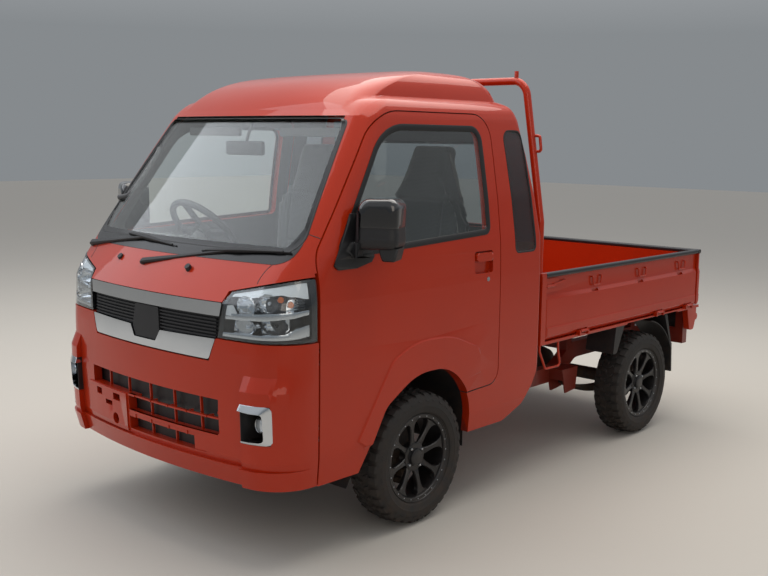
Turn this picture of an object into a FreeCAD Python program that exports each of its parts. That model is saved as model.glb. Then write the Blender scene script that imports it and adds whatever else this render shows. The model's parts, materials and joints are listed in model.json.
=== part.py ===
"""Kei truck with a long high-roof cab and a drop-side bed.

Units are millimetres. +X is the truck's left, +Y points to its rear and +Z up.
The origin is on the ground, at the middle of the truck's length and width.
"""

import FreeCAD, Part
import math
import os

V = FreeCAD.Vector

# Overall sizes
overall_length = 3395.0
body_width = 1475.0
wheelbase = 1900.0
front_overhang = 857.5
nose_y = -overall_length / 2
tail_y = overall_length / 2
half_width = body_width / 2
front_axle_y = nose_y + front_overhang
rear_axle_y = front_axle_y + wheelbase

# Wheels and tyres
tyre_radius = 285.0
tyre_width = 168.0
tyre_bead_radius = 178.0
track = 1300.0
wheel_x = track / 2
axle_z = tyre_radius
rim_half_width = 60.0
rim_lip_radius = 190.0
rim_lip = 8.0
seat_gap = 0.3
hub_radius = 30.0
hub_gap = 0.05
hub_end = 54.0
spoke_count = 8
rim_window_inner = 66.0
rim_window_outer = 157.0
window_outer_share = 0.78
window_inner_share = 0.56

# Cab
wall = 38.0
bow_radius = 3100.0
cab_length = 1705.5
cab_rear_y = nose_y + cab_length
seam = 5.0
hinge_seam = 3.0
cab_low_z = 300.0
sill_z = 335.0
lamp_low_z = 868.0
hood_low_z = 1004.0
cowl_z = 1176.0
header_z = 1697.0
shoulder_z = 1780.0
roof_top_z = 1905.0
roof_half_width = 598.0
door_front_y = nose_y + 257.5
door_rear_y = cab_rear_y - 330
door_low_z = 312.0
door_top_z = 1722.0
door_foot_z = 515.0
arch_center_y = front_axle_y - 8
arch_center_z = 325.0
glass_thickness = 5.0
glass_inset = 3.0
floor_z = 430.0
seat_box_z = 700.0
floor_thickness = 18.0
seat_box_front_y = nose_y + 502.5
recess_rear_y = cab_rear_y - 302
side_split_low = 590.0
side_split_top = 545.0

# Front wheel steering
ball_pin_radius = 10.0
top_pin_radius = 12.0
pin_gap = 0.05
cup_z = 664.0
floor_bottom_z = seat_box_z - floor_thickness

# Front of the cab
block_half = 548.0
block_proud = 24.0
block_low_z = 690.0
block_high_z = 744.0
lip_z = 392.0
lip_proud = 14.0
corner_lip_proud = 36.0
plate_proud = 6.0
fog_left = 554.0
fog_right = 706.0
fog_low_z = 494.0
fog_high_z = 642.0
fog_back_y = nose_y + 150
fog_lamp = (640.0, 566.0)
fog_lamp_radius = 36.0
front_seat_inset = 20.0

# Door skin
flare_rise = 7.0
flare_root = 14.0
flare_edge = 24.0
handle_y = (door_rear_y - 189, door_rear_y - 59)
handle_z = (1034.0, 1132.0)
handle_depth = 24.0

# Bed
bed_floor_z = 692.0
bed_floor_thickness = 16.0
gate_height = 285.0
gate_thickness = 30.0
gate_low_z = 664.0
bed_low_z = 644.0
bed_front_y = cab_rear_y + 6
bed_wall = 38.0
gate_gap = 6.0
gate_hinge_z = 672.0
gate_hinge_radius = 7.5
gate_pin_radius = 4.0
gate_hinge_x = half_width + 4.5
tailgate_hinge_y = tail_y - gate_hinge_radius
gate_out_x = half_width - 4
tailgate_out_y = tail_y - 14
gate_hinge_places = (bed_front_y + 374, tail_y - 512.5, tail_y - 158.5)
tailgate_hinge_places = (-480.0, 0.0, 480.0)
hinge_barrel_half = 30.0
ear_half = 44.0
ear_thickness = 10.0


def box(x0, x1, y0, y1, z0, z1):
    """A block between two corners."""
    return Part.makeBox(x1 - x0, y1 - y0, z1 - z0, V(x0, y0, z0))


def rod(start, end, radius):
    """A round bar from one point to another."""
    start, end = V(*start), V(*end)
    return Part.makeCylinder(radius, (end - start).Length, start, end - start)


def mirrored(shape):
    """The same shape on the other side of the truck."""
    return shape.mirror(V(0, 0, 0), V(1, 0, 0))


def both(shape):
    """A shape and its mirror image, as two solids."""
    return Part.makeCompound([shape, mirrored(shape)])


def fuse(shapes):
    """One solid from shapes that touch or overlap."""
    whole = shapes[0]
    if len(shapes) > 1:
        whole = whole.multiFuse(shapes[1:])
    return whole.removeSplitter()


def outline(points, radii=0.0):
    """A closed wire through 3-D points, each corner rounded by its radius."""
    points = [V(*p) for p in points]
    count = len(points)
    if not isinstance(radii, (list, tuple)):
        radii = [radii] * count
    starts, ends, arcs = [], [], []
    for i, corner in enumerate(points):
        before = (points[i - 1] - corner).normalize()
        after = (points[(i + 1) % count] - corner).normalize()
        radius = radii[i]
        if radius <= 0:
            starts.append(corner)
            ends.append(corner)
            arcs.append(None)
            continue
        half = before.getAngle(after) / 2
        reach = radius / math.tan(half)
        middle = (before + after).normalize()
        centre = corner + middle * (radius / math.sin(half))
        starts.append(corner + before * reach)
        ends.append(corner + after * reach)
        arcs.append(centre - middle * radius)
    edges = []
    for i in range(count):
        if arcs[i] is not None:
            edges.append(Part.Arc(starts[i], arcs[i], ends[i]).toShape())
        following = starts[(i + 1) % count]
        if (following - ends[i]).Length > 1e-6:
            edges.append(Part.LineSegment(ends[i], following).toShape())
    return Part.Wire(edges)


def prism_x(points, x0, x1, radii=0.0):
    """A (y, z) outline extruded across the truck."""
    wire = outline([(x0, y, z) for y, z in points], radii)
    return Part.Face(wire).extrude(V(x1 - x0, 0, 0))


def prism_y(points, y0, y1, radii=0.0):
    """An (x, z) outline extruded along the truck."""
    wire = outline([(x, y0, z) for x, z in points], radii)
    return Part.Face(wire).extrude(V(0, y1 - y0, 0))


def prism_z(points, z0, z1, radii=0.0):
    """An (x, y) outline extruded upwards."""
    wire = outline([(x, y, z0) for x, y in points], radii)
    return Part.Face(wire).extrude(V(0, 0, z1 - z0))


def ring_x(profile, x_centre, y, z):
    """A solid turned about an axle; the profile is (across, radius) points."""
    wire = outline([(x_centre + a, y, z + r) for a, r in profile])
    return Part.Face(wire).revolve(V(x_centre, y, z), V(1, 0, 0), 360)


def bent_bar(points, radius, bends):
    """A round bar along straight runs joined by tangent arcs."""
    path_points = [V(*p) for p in points]
    edges = []
    start = path_points[0]
    for i in range(1, len(path_points) - 1):
        corner = path_points[i]
        before = (path_points[i - 1] - corner).normalize()
        after = (path_points[i + 1] - corner).normalize()
        half = before.getAngle(after) / 2
        reach = bends / math.tan(half)
        middle = (before + after).normalize()
        centre = corner + middle * (bends / math.sin(half))
        first, last = corner + before * reach, corner + after * reach
        edges.append(Part.LineSegment(start, first).toShape())
        edges.append(Part.Arc(first, centre - middle * bends, last).toShape())
        start = last
    edges.append(Part.LineSegment(start, path_points[-1]).toShape())
    path = Part.Wire(edges)
    direction = path_points[1] - path_points[0]
    section = Part.Wire(Part.makeCircle(radius, path_points[0], direction))
    return path.makePipeShell([section], True, False)


def cab_section(z, front_y, half, corner, rear_y, rear_corner, inset):
    """A level plan outline of the cab: bowed front, round corners, flat sides."""
    front_y += inset
    half -= inset
    corner -= inset
    rear_y -= inset
    rear_corner = max(rear_corner - inset, 4.0)
    bow = bow_radius - inset
    middle = V(0, front_y + bow, z)
    corner_y = middle.y - math.sqrt((bow - corner) ** 2 - (half - corner) ** 2)
    turn = V(half - corner, corner_y, z)
    away = (turn - middle).normalize()
    meet = middle + away * bow
    ahead = away + V(1, 0, 0)
    bulge = turn + ahead.normalize() * corner
    side = V(half, corner_y, z)
    back = V(half, rear_y - rear_corner, z)
    back_turn = V(half - rear_corner, rear_y - rear_corner, z)
    slant = rear_corner / math.sqrt(2)
    back_bulge = back_turn + V(slant, slant, 0)
    end = V(half - rear_corner, rear_y, z)

    def flip(p):
        return V(-p.x, p.y, p.z)

    return Part.Wire(
        [
            Part.Arc(flip(meet), V(0, front_y, z), meet).toShape(),
            Part.Arc(meet, bulge, side).toShape(),
            Part.LineSegment(side, back).toShape(),
            Part.Arc(back, back_bulge, end).toShape(),
            Part.LineSegment(end, flip(end)).toShape(),
            Part.Arc(flip(end), flip(back_bulge), flip(back)).toShape(),
            Part.LineSegment(flip(back), flip(side)).toShape(),
            Part.Arc(flip(side), flip(bulge), flip(meet)).toShape(),
        ]
    )


# Level sections of the cab: height, front, half width, corner, rear, rear corner
lower_sections = [
    (cab_low_z, nose_y + 42, half_width - 12, 178, cab_rear_y, 30),
    (420, nose_y + 9, half_width - 2, 188, cab_rear_y, 30),
    (600, nose_y, half_width, 190, cab_rear_y, 30),
    (820, nose_y, half_width, 190, cab_rear_y, 30),
    (hood_low_z, nose_y + 10, half_width - 1, 186, cab_rear_y, 30),
]
hood_sections = [
    (hood_low_z, nose_y + 10, half_width - 1, 186, cab_rear_y, 30),
    (1062, nose_y + 50, half_width - 3, 178, cab_rear_y, 30),
    (1122, nose_y + 96, half_width - 5, 166, cab_rear_y, 30),
    (cowl_z, nose_y + 140, half_width - 8, 150, cab_rear_y, 30),
]
upper_sections = [
    (cowl_z, nose_y + 140, half_width - 8, 150, cab_rear_y, 30),
    (1350, nose_y + 270, 708, 134, cab_rear_y - 22, 36),
    (1530, nose_y + 404, 677, 118, cab_rear_y - 50, 44),
    (header_z, nose_y + 529, 645, 104, cab_rear_y - 78, 52),
]
shoulder_sections = [
    (header_z, nose_y + 529, 645, 104, cab_rear_y - 78, 52),
    (1735, nose_y + 572, 630, 98, cab_rear_y - 88, 56),
    (1762, nose_y + 618, 606, 92, cab_rear_y - 100, 60),
    (shoulder_z, nose_y + 690, 562, 84, cab_rear_y - 122, 66),
]
dome_sections = [
    (header_z, nose_y + 532, 580, 80, cab_rear_y - 90, 60),
    (1760, nose_y + 598, 560, 90, cab_rear_y - 104, 80),
    (1822, nose_y + 700, 542, 100, cab_rear_y - 130, 90),
    (1866, nose_y + 832, 518, 110, cab_rear_y - 172, 100),
    (1892, nose_y + 1000, 476, 110, cab_rear_y - 240, 100),
    (roof_top_z, nose_y + 1120, 400, 100, cab_rear_y - 320, 90),
]


def refined(sections, steps):
    """More level sections between the given ones, along a smooth curve."""
    finer = [sections[0]]
    last = len(sections) - 1
    for i in range(last):
        a, b = sections[i], sections[i + 1]
        before, after = sections[max(i - 1, 0)], sections[min(i + 2, last)]
        for k in range(1, steps + 1):
            t = k / steps
            values = []
            for p, q, r, s in zip(before, a, b, after):
                leave, arrive = (r - p) / 2, (s - q) / 2
                values.append(
                    (2 * t**3 - 3 * t**2 + 1) * q
                    + (t**3 - 2 * t**2 + t) * leave
                    + (3 * t**2 - 2 * t**3) * r
                    + (t**3 - t**2) * arrive
                )
            finer.append(tuple(values))
    return finer


def zone(sections, inset, drop=0.0):
    """A solid through level sections, moved inwards, its top lowered by the drop."""
    wires = []
    for z, *plan in sections:
        share = min(max((z - header_z) / (shoulder_z - header_z), 0.0), 1.0)
        wires.append(cab_section(z - drop * share, *plan, inset))
    return Part.makeLoft(wires, True, True)


lower_zone = lower_sections
hood_zone = refined(hood_sections, 3)
upper_zone = upper_sections
shoulder_zone = refined(shoulder_sections, 3)
dome_zone = refined(dome_sections, 3)
front_zone = lower_zone + hood_zone[1:]


def cab_form(inset, drop=0.0):
    """The closed form of the cab, moved inwards, its top lowered by the drop."""
    zones = [lower_zone, hood_zone, upper_zone, shoulder_zone, dome_zone]
    parts = [zone(sections, inset, drop) for sections in zones]
    parts.append(Part.Face(cab_section(*lower_zone[0], inset)).extrude(V(0, 0, -60)))
    return parts[0].multiFuse(parts[1:])


outer_form = cab_form(0.0)
shell = outer_form.cut(cab_form(wall, wall - 8))
glass_shell = cab_form(glass_inset).cut(cab_form(glass_inset + glass_thickness))


arch_corners = [
    (arch_center_y - 411, arch_center_z - 85),
    (arch_center_y - 226, arch_center_z + 230),
    (arch_center_y - 47, arch_center_z + 334),
    (arch_center_y + 182, arch_center_z + 334),
    (arch_center_y + 322, arch_center_z + 176),
    (arch_center_y + 322, arch_center_z - 85),
]
arch_radii = [0, 120, 300, 240, 230, 0]


def arch_cut():
    """The front wheel opening in the side."""
    return prism_x(arch_corners, 400, 800, arch_radii)


door_corners = [
    (door_front_y, door_low_z - 60),
    (door_front_y, cowl_z),
    (nose_y + 649.5, door_top_z),
    (door_rear_y, door_top_z),
    (door_rear_y, door_foot_z + 11),
    (arch_center_y + 248, door_foot_z),
    (arch_center_y + 248, door_low_z - 60),
]
door_radii = [0, 150, 260, 110, 70, 0, 0]
window_corners = [
    (door_front_y + 88, 1168.0),
    (door_front_y + 420, door_top_z - 62),
    (door_rear_y - 80, door_top_z - 62),
    (door_rear_y - 80, 1210.0),
]
window_radii = [30, 230, 60, 30]


def offset_polygon(corners, amount):
    """The corners of a (y, z) polygon, moved inwards by the same amount."""
    moved = []
    count = len(corners)
    area = sum(
        corners[i][0] * corners[(i + 1) % count][1]
        - corners[(i + 1) % count][0] * corners[i][1]
        for i in range(count)
    )
    turn = 1.0 if area > 0 else -1.0
    for i in range(count):
        (ay, az), (by, bz), (cy, cz) = corners[i - 1], corners[i], corners[(i + 1) % count]
        before = V(by - ay, bz - az, 0).normalize()
        after = V(cy - by, cz - bz, 0).normalize()
        n1 = V(-before.y, before.x, 0) * turn
        n2 = V(-after.y, after.x, 0) * turn
        middle = (n1 + n2).normalize()
        step = amount / middle.dot(n1)
        moved.append((by + middle.x * step, bz + middle.y * step))
    return moved


def door_region(inset):
    """The door's outline as a prism, moved inwards by the inset."""
    corners = offset_polygon(door_corners, inset)
    radii = [max(r - inset, 0) if r else 0 for r in door_radii]
    return prism_x(corners, 560, 800, radii)


def underside():
    """What is cut away below the cab's sides: the chin, sill and rear corner."""
    front = box(-800, 800, nose_y - 300, nose_y + 407.5, 200, door_low_z)
    rear = prism_x(
        [
            (cab_rear_y - 568, 200),
            (cab_rear_y - 568, sill_z),
            (cab_rear_y - 278, sill_z),
            (cab_rear_y - 133, 392),
            (cab_rear_y - 60, 470),
            (cab_rear_y + 52, 660),
            (cab_rear_y + 52, 200),
        ],
        -800,
        800,
        [0, 0, 60, 60, 60, 0, 0],
    )
    return fuse([front, rear])


windshield_corners = [(-664, 1184), (664, 1184), (566, header_z - 12), (-566, header_z - 12)]
windshield_radii = [60, 60, 34, 34]
rear_window_corners = [(-470, 1190), (470, 1190), (440, 1600), (-440, 1600)]
quarter_corners = [
    (cab_rear_y - 216, 1105),
    (cab_rear_y - 54, 1105),
    (cab_rear_y - 96, 1652),
    (cab_rear_y - 240, 1652),
]
quarter_radii = [26, 26, 44, 44]


def windshield_cut(inset):
    """The windshield's outline as a prism along the truck."""
    corners = offset_polygon(windshield_corners, inset)
    return prism_y(corners, nose_y - 50, front_axle_y - 10, [r - inset for r in windshield_radii])


def rear_window_cut(inset):
    """The rear window's outline as a prism along the truck."""
    corners = offset_polygon(rear_window_corners, inset)
    return prism_y(corners, cab_rear_y - 208, cab_rear_y + 52, 40 - inset)


def quarter_cut(inset):
    """The quarter window's outline as a prism across the left side."""
    corners = offset_polygon(quarter_corners, inset)
    return prism_x(corners, 560, 800, [r - inset for r in quarter_radii])


lamp_corners = [(416, lamp_low_z), (451, 1042), (735, 1108), (760, 1108), (760, lamp_low_z)]
grille_corners = [
    (-448, hood_low_z),
    (448, hood_low_z),
    (414, lamp_low_z),
    (380, 780),
    (-380, 780),
    (-414, lamp_low_z),
]
bumper_rear_y = door_front_y - hinge_seam


def lamp_region(grow=0.0, depth=110.0):
    """The left lamp's outline, following the cab's round corner."""
    corners = offset_polygon(lamp_corners, -grow)
    front = prism_y(corners, nose_y - 20, bumper_rear_y)
    return front.cut(zone(front_zone, depth))


def side_region():
    """The outer left slice of the cab that belongs to its side frame."""
    return prism_y(
        [
            (side_split_low, 1190),
            (side_split_top, header_z),
            (roof_half_width, header_z),
            (roof_half_width, 1800),
            (800, 1800),
            (800, 200),
            (side_split_low, 200),
        ],
        nose_y - 20,
        cab_rear_y + 52,
    )


def make_side_frame():
    """Left pillars, roof rail, sill and quarter panel, with the door opening."""
    side = shell.common(side_region())
    side = side.cut(box(0, 800, nose_y - 20, bumper_rear_y, 200, hood_low_z))
    side = side.cut(door_region(0.0))
    side = side.cut(arch_cut())
    side = side.cut(underside())
    side = side.cut(windshield_cut(0.0))
    side = side.cut(quarter_cut(0.0))
    side = side.cut(lamp_region(1.0))
    side = side.cut(box(0, 800, nose_y - 20, door_front_y, 200, 1120))
    return biggest(side)


def biggest(shape):
    """The largest solid of a shape that a cut may have split."""
    return max(shape.Solids, key=lambda s: s.Volume)


def solids(shape, least=1000.0):
    """The solids of a shape that are more than crumbs."""
    return [s for s in shape.Solids if s.Volume > least]


def make_corner_piece():
    """The fixed piece between hood, lamp and door, under the pillar's foot."""
    corner = shell.common(
        prism_y([(590, 1030), (590, 1190), (800, 1190), (800, 1030)], nose_y - 20, door_front_y - 8)
    )
    corner = corner.cut(windshield_cut(0.0)).cut(lamp_region(2.0))
    return biggest(corner)


def make_roof():
    """The high roof with its dome and its header over the windshield."""
    half = roof_half_width
    return biggest(shell.common(box(-half, half, nose_y, cab_rear_y + 52, header_z, 2000)))


def make_back_panel():
    """Rear wall of the cab; its foot steps forward over the bed's floor."""
    region = prism_y(
        [
            (-side_split_low, 960),
            (side_split_low, 960),
            (side_split_low, 1190),
            (side_split_top, header_z),
            (-side_split_top, header_z),
            (-side_split_low, 1190),
        ],
        cab_rear_y - 168,
        cab_rear_y + 52,
    )
    upper = biggest(shell.common(region).cut(rear_window_cut(0.0)))
    inner = half_width - wall
    foot = box(-side_split_low, side_split_low, cab_rear_y - wall - 1, cab_rear_y - wall + 6, 980, 1004)
    front, back = recess_rear_y - 24, recess_rear_y
    step = prism_x(
        [
            (front, seat_box_z),
            (back, seat_box_z),
            (back, 980),
            (cab_rear_y - wall, 980),
            (cab_rear_y - wall, 1004),
            (front, 1004),
        ],
        -inner,
        inner,
    )
    return fuse([upper, step.common(zone(front_zone, wall)), foot])


def make_front_panel():
    """The short hood between the lamps and the windshield."""
    panel = shell.common(box(-590, 590, nose_y - 20, nose_y + 497.5, hood_low_z, 1190))
    panel = panel.cut(windshield_cut(0.0))
    panel = panel.cut(lamp_region(2.0)).cut(mirrored(lamp_region(2.0)))
    return biggest(panel)


def plan_at(z):
    """The cab's plan values at a height below the hood."""
    for low, high in zip(lower_sections, lower_sections[1:]):
        if z <= high[0]:
            break
    t = (z - low[0]) / (high[0] - low[0])
    return [a + (b - a) * t for a, b in zip(low[1:], high[1:])]


def proud_zone(levels):
    """The cab's lower form, its front moved forwards at each (height, amount)."""
    sections = []
    for z, amount in levels:
        front, *plan = plan_at(z)
        sections.append((z, front - amount, *plan))
    return zone(sections, 0.0)


def across(y0, y1, near, far, z0, z1):
    """A block on the left that reaches from a slanted inner side to the cab's flank."""
    return prism_z([(far, y0), (800, y0), (800, y1), (near, y1)], z0, z1)


def make_bumper():
    """Front bumper: grille openings, proud corners and lip, plate panel, fog lamp pockets."""
    front, back = nose_y - 60, bumper_rear_y
    bumper = shell.common(box(-800, 800, front, back, 200, lamp_low_z - 3))
    bumper = bumper.cut(prism_y(offset_polygon(grille_corners, -3), front, nose_y + 197.5))
    block = proud_zone(
        [(lip_z - 2, block_proud), (420, block_proud), (600, block_proud)]
        + [(block_low_z, block_proud), (block_high_z, 0)]
    )
    block = block.common(across(front, back, block_half, block_half + 10, 200, 800))
    lip_levels = (door_low_z + 4, lip_z)
    lip = proud_zone([(z, lip_proud) for z in lip_levels])
    corner_lip = proud_zone([(z, corner_lip_proud) for z in lip_levels])
    corner_lip = corner_lip.common(across(front, back, block_half - 26, block_half + 6, 200, 800))
    panel = proud_zone([(400, plate_proud), (420, plate_proud), (559, plate_proud)])
    panel = panel.common(box(-466, -140, front, back, 200, 600))
    whole = bumper.multiFuse([block, mirrored(block), lip, corner_lip, mirrored(corner_lip), panel])
    whole = whole.cut(zone(front_zone, wall))
    whole = whole.cut(box(-800, 800, front, back, 200, door_low_z + 4))
    whole = whole.cut(box(-800, 800, back, 0, 200, lamp_low_z))
    cuts = []
    deep = nose_y + 197.5
    columns = [(-420 + 112 * i, min(-316 + 112 * i, 428)) for i in range(8)]
    for x0, x1 in columns:
        cuts.append(box(x0, x1, front, deep, 588, 634))
    for x0, x1 in columns[3:]:
        cuts.append(box(x0, x1, front, deep, 500, 578))
    for x0, x1 in columns[3:7]:
        cuts.append(box(x0, x1, front, deep, 415, 484))
    for x0, x1, z0, z1 in ((-391, -345, 516, 545), (-245, -190, 516, 545), (-314, -258, 485, 505)):
        cuts.append(box(x0, x1, front, nose_y + 60, z0, z1))
    cuts.append(rod((-232, front, 436), (-232, nose_y + 60, 436), 24))
    pocket = box(fog_left, fog_right, front, fog_back_y + wall, fog_low_z, fog_high_z)
    return biggest(whole.cut(Part.makeCompound(cuts + [pocket, mirrored(pocket)])))


def make_grille():
    """Black grille between the lamps: slats and a blank centre block on a backing plate."""
    curve = zone(lower_sections, front_seat_inset)
    plate = prism_y(offset_polygon(grille_corners, -3), nose_y - 20, nose_y + 137.5).common(
        curve.cut(zone(lower_sections, front_seat_inset + 14))
    )
    plate = plate.common(box(-800, 800, nose_y - 20, 0, 700, hood_low_z))
    plate = plate.cut(lamp_region()).cut(mirrored(lamp_region()))
    slats = []
    front = zone(lower_sections, 10.0).cut(zone(lower_sections, front_seat_inset + 4))
    for i in range(7):
        z = lamp_low_z - 2 + 13 * i
        for side in (-1, 1):
            x0, x1 = sorted((side * 84, side * 406))
            slats.append(box(x0, x1, nose_y - 5, nose_y + 137.5, z, z + 6))
    slats = solids(front.common(Part.makeCompound(slats)))
    centre = zone(lower_sections, 6.0).cut(zone(lower_sections, front_seat_inset + 4))
    shape = [(-68, 816), (68, 816), (90, 852), (78, 945), (-78, 945), (-90, 852)]
    centre = centre.common(prism_y(shape, nose_y - 5, nose_y + 197.5, 6))
    return fuse([plate, centre] + slats)


def make_chrome():
    """Bright bars over and under the grille, and the two fog lamp frames."""
    skin = zone(lower_sections, 1.0).cut(zone(lower_sections, front_seat_inset))
    bar = [(-439, 1001), (439, 1001), (429, 950), (-429, 950)]
    top = skin.common(prism_y(bar, nose_y - 5, nose_y + 137.5, 4))
    garnish = [
        (-412, 864),
        (-100, 858),
        (-72, 812),
        (72, 812),
        (100, 858),
        (412, 864),
        (380, 783),
        (-380, 783),
    ]
    low = skin.common(prism_y(garnish, nose_y - 5, nose_y + 137.5, [4, 8, 8, 8, 8, 4, 16, 16]))
    low = low.cut(lamp_region()).cut(mirrored(lamp_region()))
    rim = proud_zone([(450, block_proud + 4), (600, block_proud + 4), (650, block_proud + 4)])
    rim = rim.cut(zone(lower_sections, 2.0))
    rim = rim.common(box(fog_left, fog_right, nose_y - 60, fog_back_y, fog_low_z, fog_high_z))
    mouth = [
        (fog_left - 10, fog_low_z + 14),
        (fog_right - 44, fog_low_z + 18),
        (fog_right - 38, fog_high_z - 24),
        (fog_left - 10, fog_high_z - 18),
    ]
    rim = rim.cut(prism_y(mouth, nose_y - 80, fog_back_y, 5))
    return Part.makeCompound(solids(top) + solids(low) + solids(rim) + solids(mirrored(rim)))


def make_fog_lamps():
    """Left and right fog lamps: an open housing with its round lamp."""
    front, back = nose_y - 60, fog_back_y
    housing = box(fog_left, fog_right, front, back, fog_low_z, fog_high_z)
    housing = housing.common(zone(lower_sections, 2.0))
    t = 4
    hollow = box(fog_left + t, fog_right - t, front, back - t, fog_low_z + t, fog_high_z - t)
    x, z = fog_lamp
    lamp = rod((x, nose_y + 92, z), (x, back - t, z), fog_lamp_radius)
    return both(fuse([housing.cut(hollow), lamp.common(zone(lower_sections, 6.0))]))


def make_headlamps():
    """Wrap-round lamps in the cab's front corners."""
    lamp = zone(front_zone, 1.0).common(lamp_region(-1.0, wall))
    return both(biggest(lamp))


def make_windshield():
    """Bowed windshield glass."""
    return biggest(glass_shell.common(windshield_cut(0.6)))


def make_cab_glass():
    """Rear window and the two quarter windows."""
    rear = biggest(glass_shell.common(rear_window_cut(0.6)))
    quarter = biggest(glass_shell.common(quarter_cut(0.6)))
    return Part.makeCompound([rear, quarter, mirrored(quarter)])


door_pin = (726.0, -1419.0)
door_pin_radius = 3.0
door_hinge_heights = (520.0, 810.0)
hinge_half = 28.0
ear = 10.0


def make_door_hinges():
    """Inner brackets with the pins on which the two doors turn."""
    x, y = door_pin
    inside = half_width - wall
    parts = []
    for z in door_hinge_heights:
        plan = [
            (x + 3.5, y - 4.2),
            (x + 3.5, y + 4.2),
            (inside - 12, y + 4.2),
            (inside - 12, bumper_rear_y - 40),
            (inside, bumper_rear_y - 40),
            (inside, y - 4.2),
        ]
        low, high = z - hinge_half, z + hinge_half
        upper = prism_z(plan, high - ear, high)
        lower = prism_z(plan, low, low + ear)
        hinge = fuse([upper, lower, rod((x, y, low), (x, y, high), door_pin_radius)])
        behind = box(0, 800, nose_y - 20, bumper_rear_y, 200, hood_low_z)
        parts.append(hinge.cut(behind.cut(zone(lower_zone, wall))))
    return both(Part.makeCompound(parts))


flare_corners = [
    (arch_center_y - 414, 443),
    (arch_center_y - 204, 752),
    (arch_center_y - 57, 817),
    (arch_center_y + 188, 808),
    (arch_center_y + 404, 722),
    (arch_center_y + 412, 588),
    (arch_center_y + 278, 480),
    (arch_center_y, 400),
    (arch_center_y - 352, 395),
]
flare_radii = [0, 110, 420, 420, 70, 30, 0, 0, 0]


def make_flare():
    """The raised band round the front wheel opening, its edge slanted."""
    x0, x1 = half_width - flare_root, half_width + flare_rise
    corners = offset_polygon(flare_corners, flare_edge)
    radii = [max(r - flare_edge, 4) if r else 0 for r in flare_radii]
    base = outline([(x0, y, z) for y, z in flare_corners], flare_radii)
    top = outline([(x1, y, z) for y, z in corners], radii)
    return Part.makeLoft([base, top], True, True)


def handle_region(inset, x0, x1, z0=handle_z[0], z1=handle_z[1]):
    """A rounded block at the door handle, moved inwards by the inset."""
    y0, y1 = handle_y
    corners = [(y0, z0), (y0, z1), (y1, z1), (y1, z0)]
    return prism_x(offset_polygon(corners, inset), x0, x1, 14)


def make_door_panel():
    """Left door: skin, wheel flare, handle in its recess, window and hinge pockets."""
    x, y = door_pin
    door = shell.fuse(make_flare()).common(door_region(seam))
    door = door.cut(handle_region(0, half_width - handle_depth, 800))
    grip = handle_region(7, half_width - handle_depth - 2, half_width + 3, handle_z[1] - 52, handle_z[1])
    door = door.fuse(grip)
    cuts = [
        box(400, 800, nose_y, 0, 200, door_low_z),
        box(400, roof_half_width + 7, nose_y, 0, 1600, 1800),
        prism_x(window_corners, 500, 800, window_radii),
        arch_cut(),
    ]
    for z in door_hinge_heights:
        for middle in (z - hinge_half + ear / 2, z + hinge_half - ear / 2):
            cuts.append(box(690, x + 6, door_front_y - 10, y + 20, middle - ear, middle + ear))
        cuts.append(rod((x, y, z - 30), (x, y, z + 30), door_pin_radius + pin_gap))
    for cut in cuts:
        door = door.cut(cut)
    return biggest(door)


def make_door_glass():
    """Left door window."""
    corners = offset_polygon(window_corners, 0.6)
    radii = [r - 0.6 for r in window_radii]
    return biggest(glass_shell.common(prism_x(corners, 500, 800, radii)))


mirror_base = [
    (door_front_y + 74, 1140),
    (door_front_y + 95, 1124),
    (door_front_y + 190, 1124),
    (door_front_y + 290, 1146),
    (door_front_y + 290, 1180),
    (door_front_y + 204, 1330),
    (door_front_y + 178, 1330),
]
mirror_at = (760.0, door_front_y + 146)
mirror_turn = 25.0
mirror_depth = 72.0
mirror_corners = [(0, 1206), (171, 1206), (171, 1397), (8, 1384)]
mirror_radii = [22, 30, 34, 44]


def make_mirror():
    """Left door mirror: base on the door's corner, arm and turned head with a lower lobe."""
    skin = zone(hood_zone, -8.0).fuse(zone(upper_zone, -8.0))
    foot = prism_x(mirror_base, 680, 760, [4, 10, 20, 10, 20, 6, 6]).common(skin)

    def ring(inset, depth):
        corners = offset_polygon(mirror_corners, inset)
        radii = [r - inset / 2 for r in mirror_radii]
        return outline([(x, depth, z) for x, z in corners], radii)

    head = Part.makeLoft([ring(22, 0), ring(7, 9), ring(0, 26), ring(0, mirror_depth)], True, True)
    lobe = prism_y([(96, 1212), (172, 1212), (160, 1168), (112, 1168)], 12, 62, [0, 0, 14, 14])
    head = fuse([head, lobe])
    head.rotate(V(0, 0, 0), V(0, 0, 1), mirror_turn)
    head.translate(V(*mirror_at, 0))
    x, y = mirror_at
    plan = [(700, y + 26), (x + 10, y + 6), (x + 50, y + 30), (x + 40, y + 66), (700, y + 84)]
    arm = prism_z(plan, 1168, 1224, 8)
    mirror = fuse([foot, arm, head])
    return biggest(mirror.cut(outer_form))


def make_cab_floor():
    """Foot well, seat box and rear step, pressed from one sheet."""
    t = floor_thickness
    front = nose_y + 97.5
    sheet = prism_x(
        [
            (front, 860),
            (front - t, 860),
            (front - t, floor_z - t),
            (seat_box_front_y + t, floor_z - t),
            (seat_box_front_y + t, seat_box_z - t),
            (recess_rear_y, seat_box_z - t),
            (recess_rear_y, seat_box_z),
            (seat_box_front_y, seat_box_z),
            (seat_box_front_y, floor_z),
            (front, floor_z),
        ],
        -690,
        690,
    )
    ends = box(-800, 800, door_rear_y + 4, 0, 600, 800)
    inner = half_width - wall
    step = box(-inner, inner, door_rear_y + 4, recess_rear_y, seat_box_z - t, seat_box_z)
    sheet = sheet.cut(ends).fuse(step)
    lamp = box(fog_left - 1, fog_right, nose_y, fog_back_y, fog_low_z - 1, fog_high_z + 1)
    sheet = sheet.cut(lamp).cut(mirrored(lamp))
    return biggest(sheet.common(zone(lower_sections, wall)))


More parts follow.
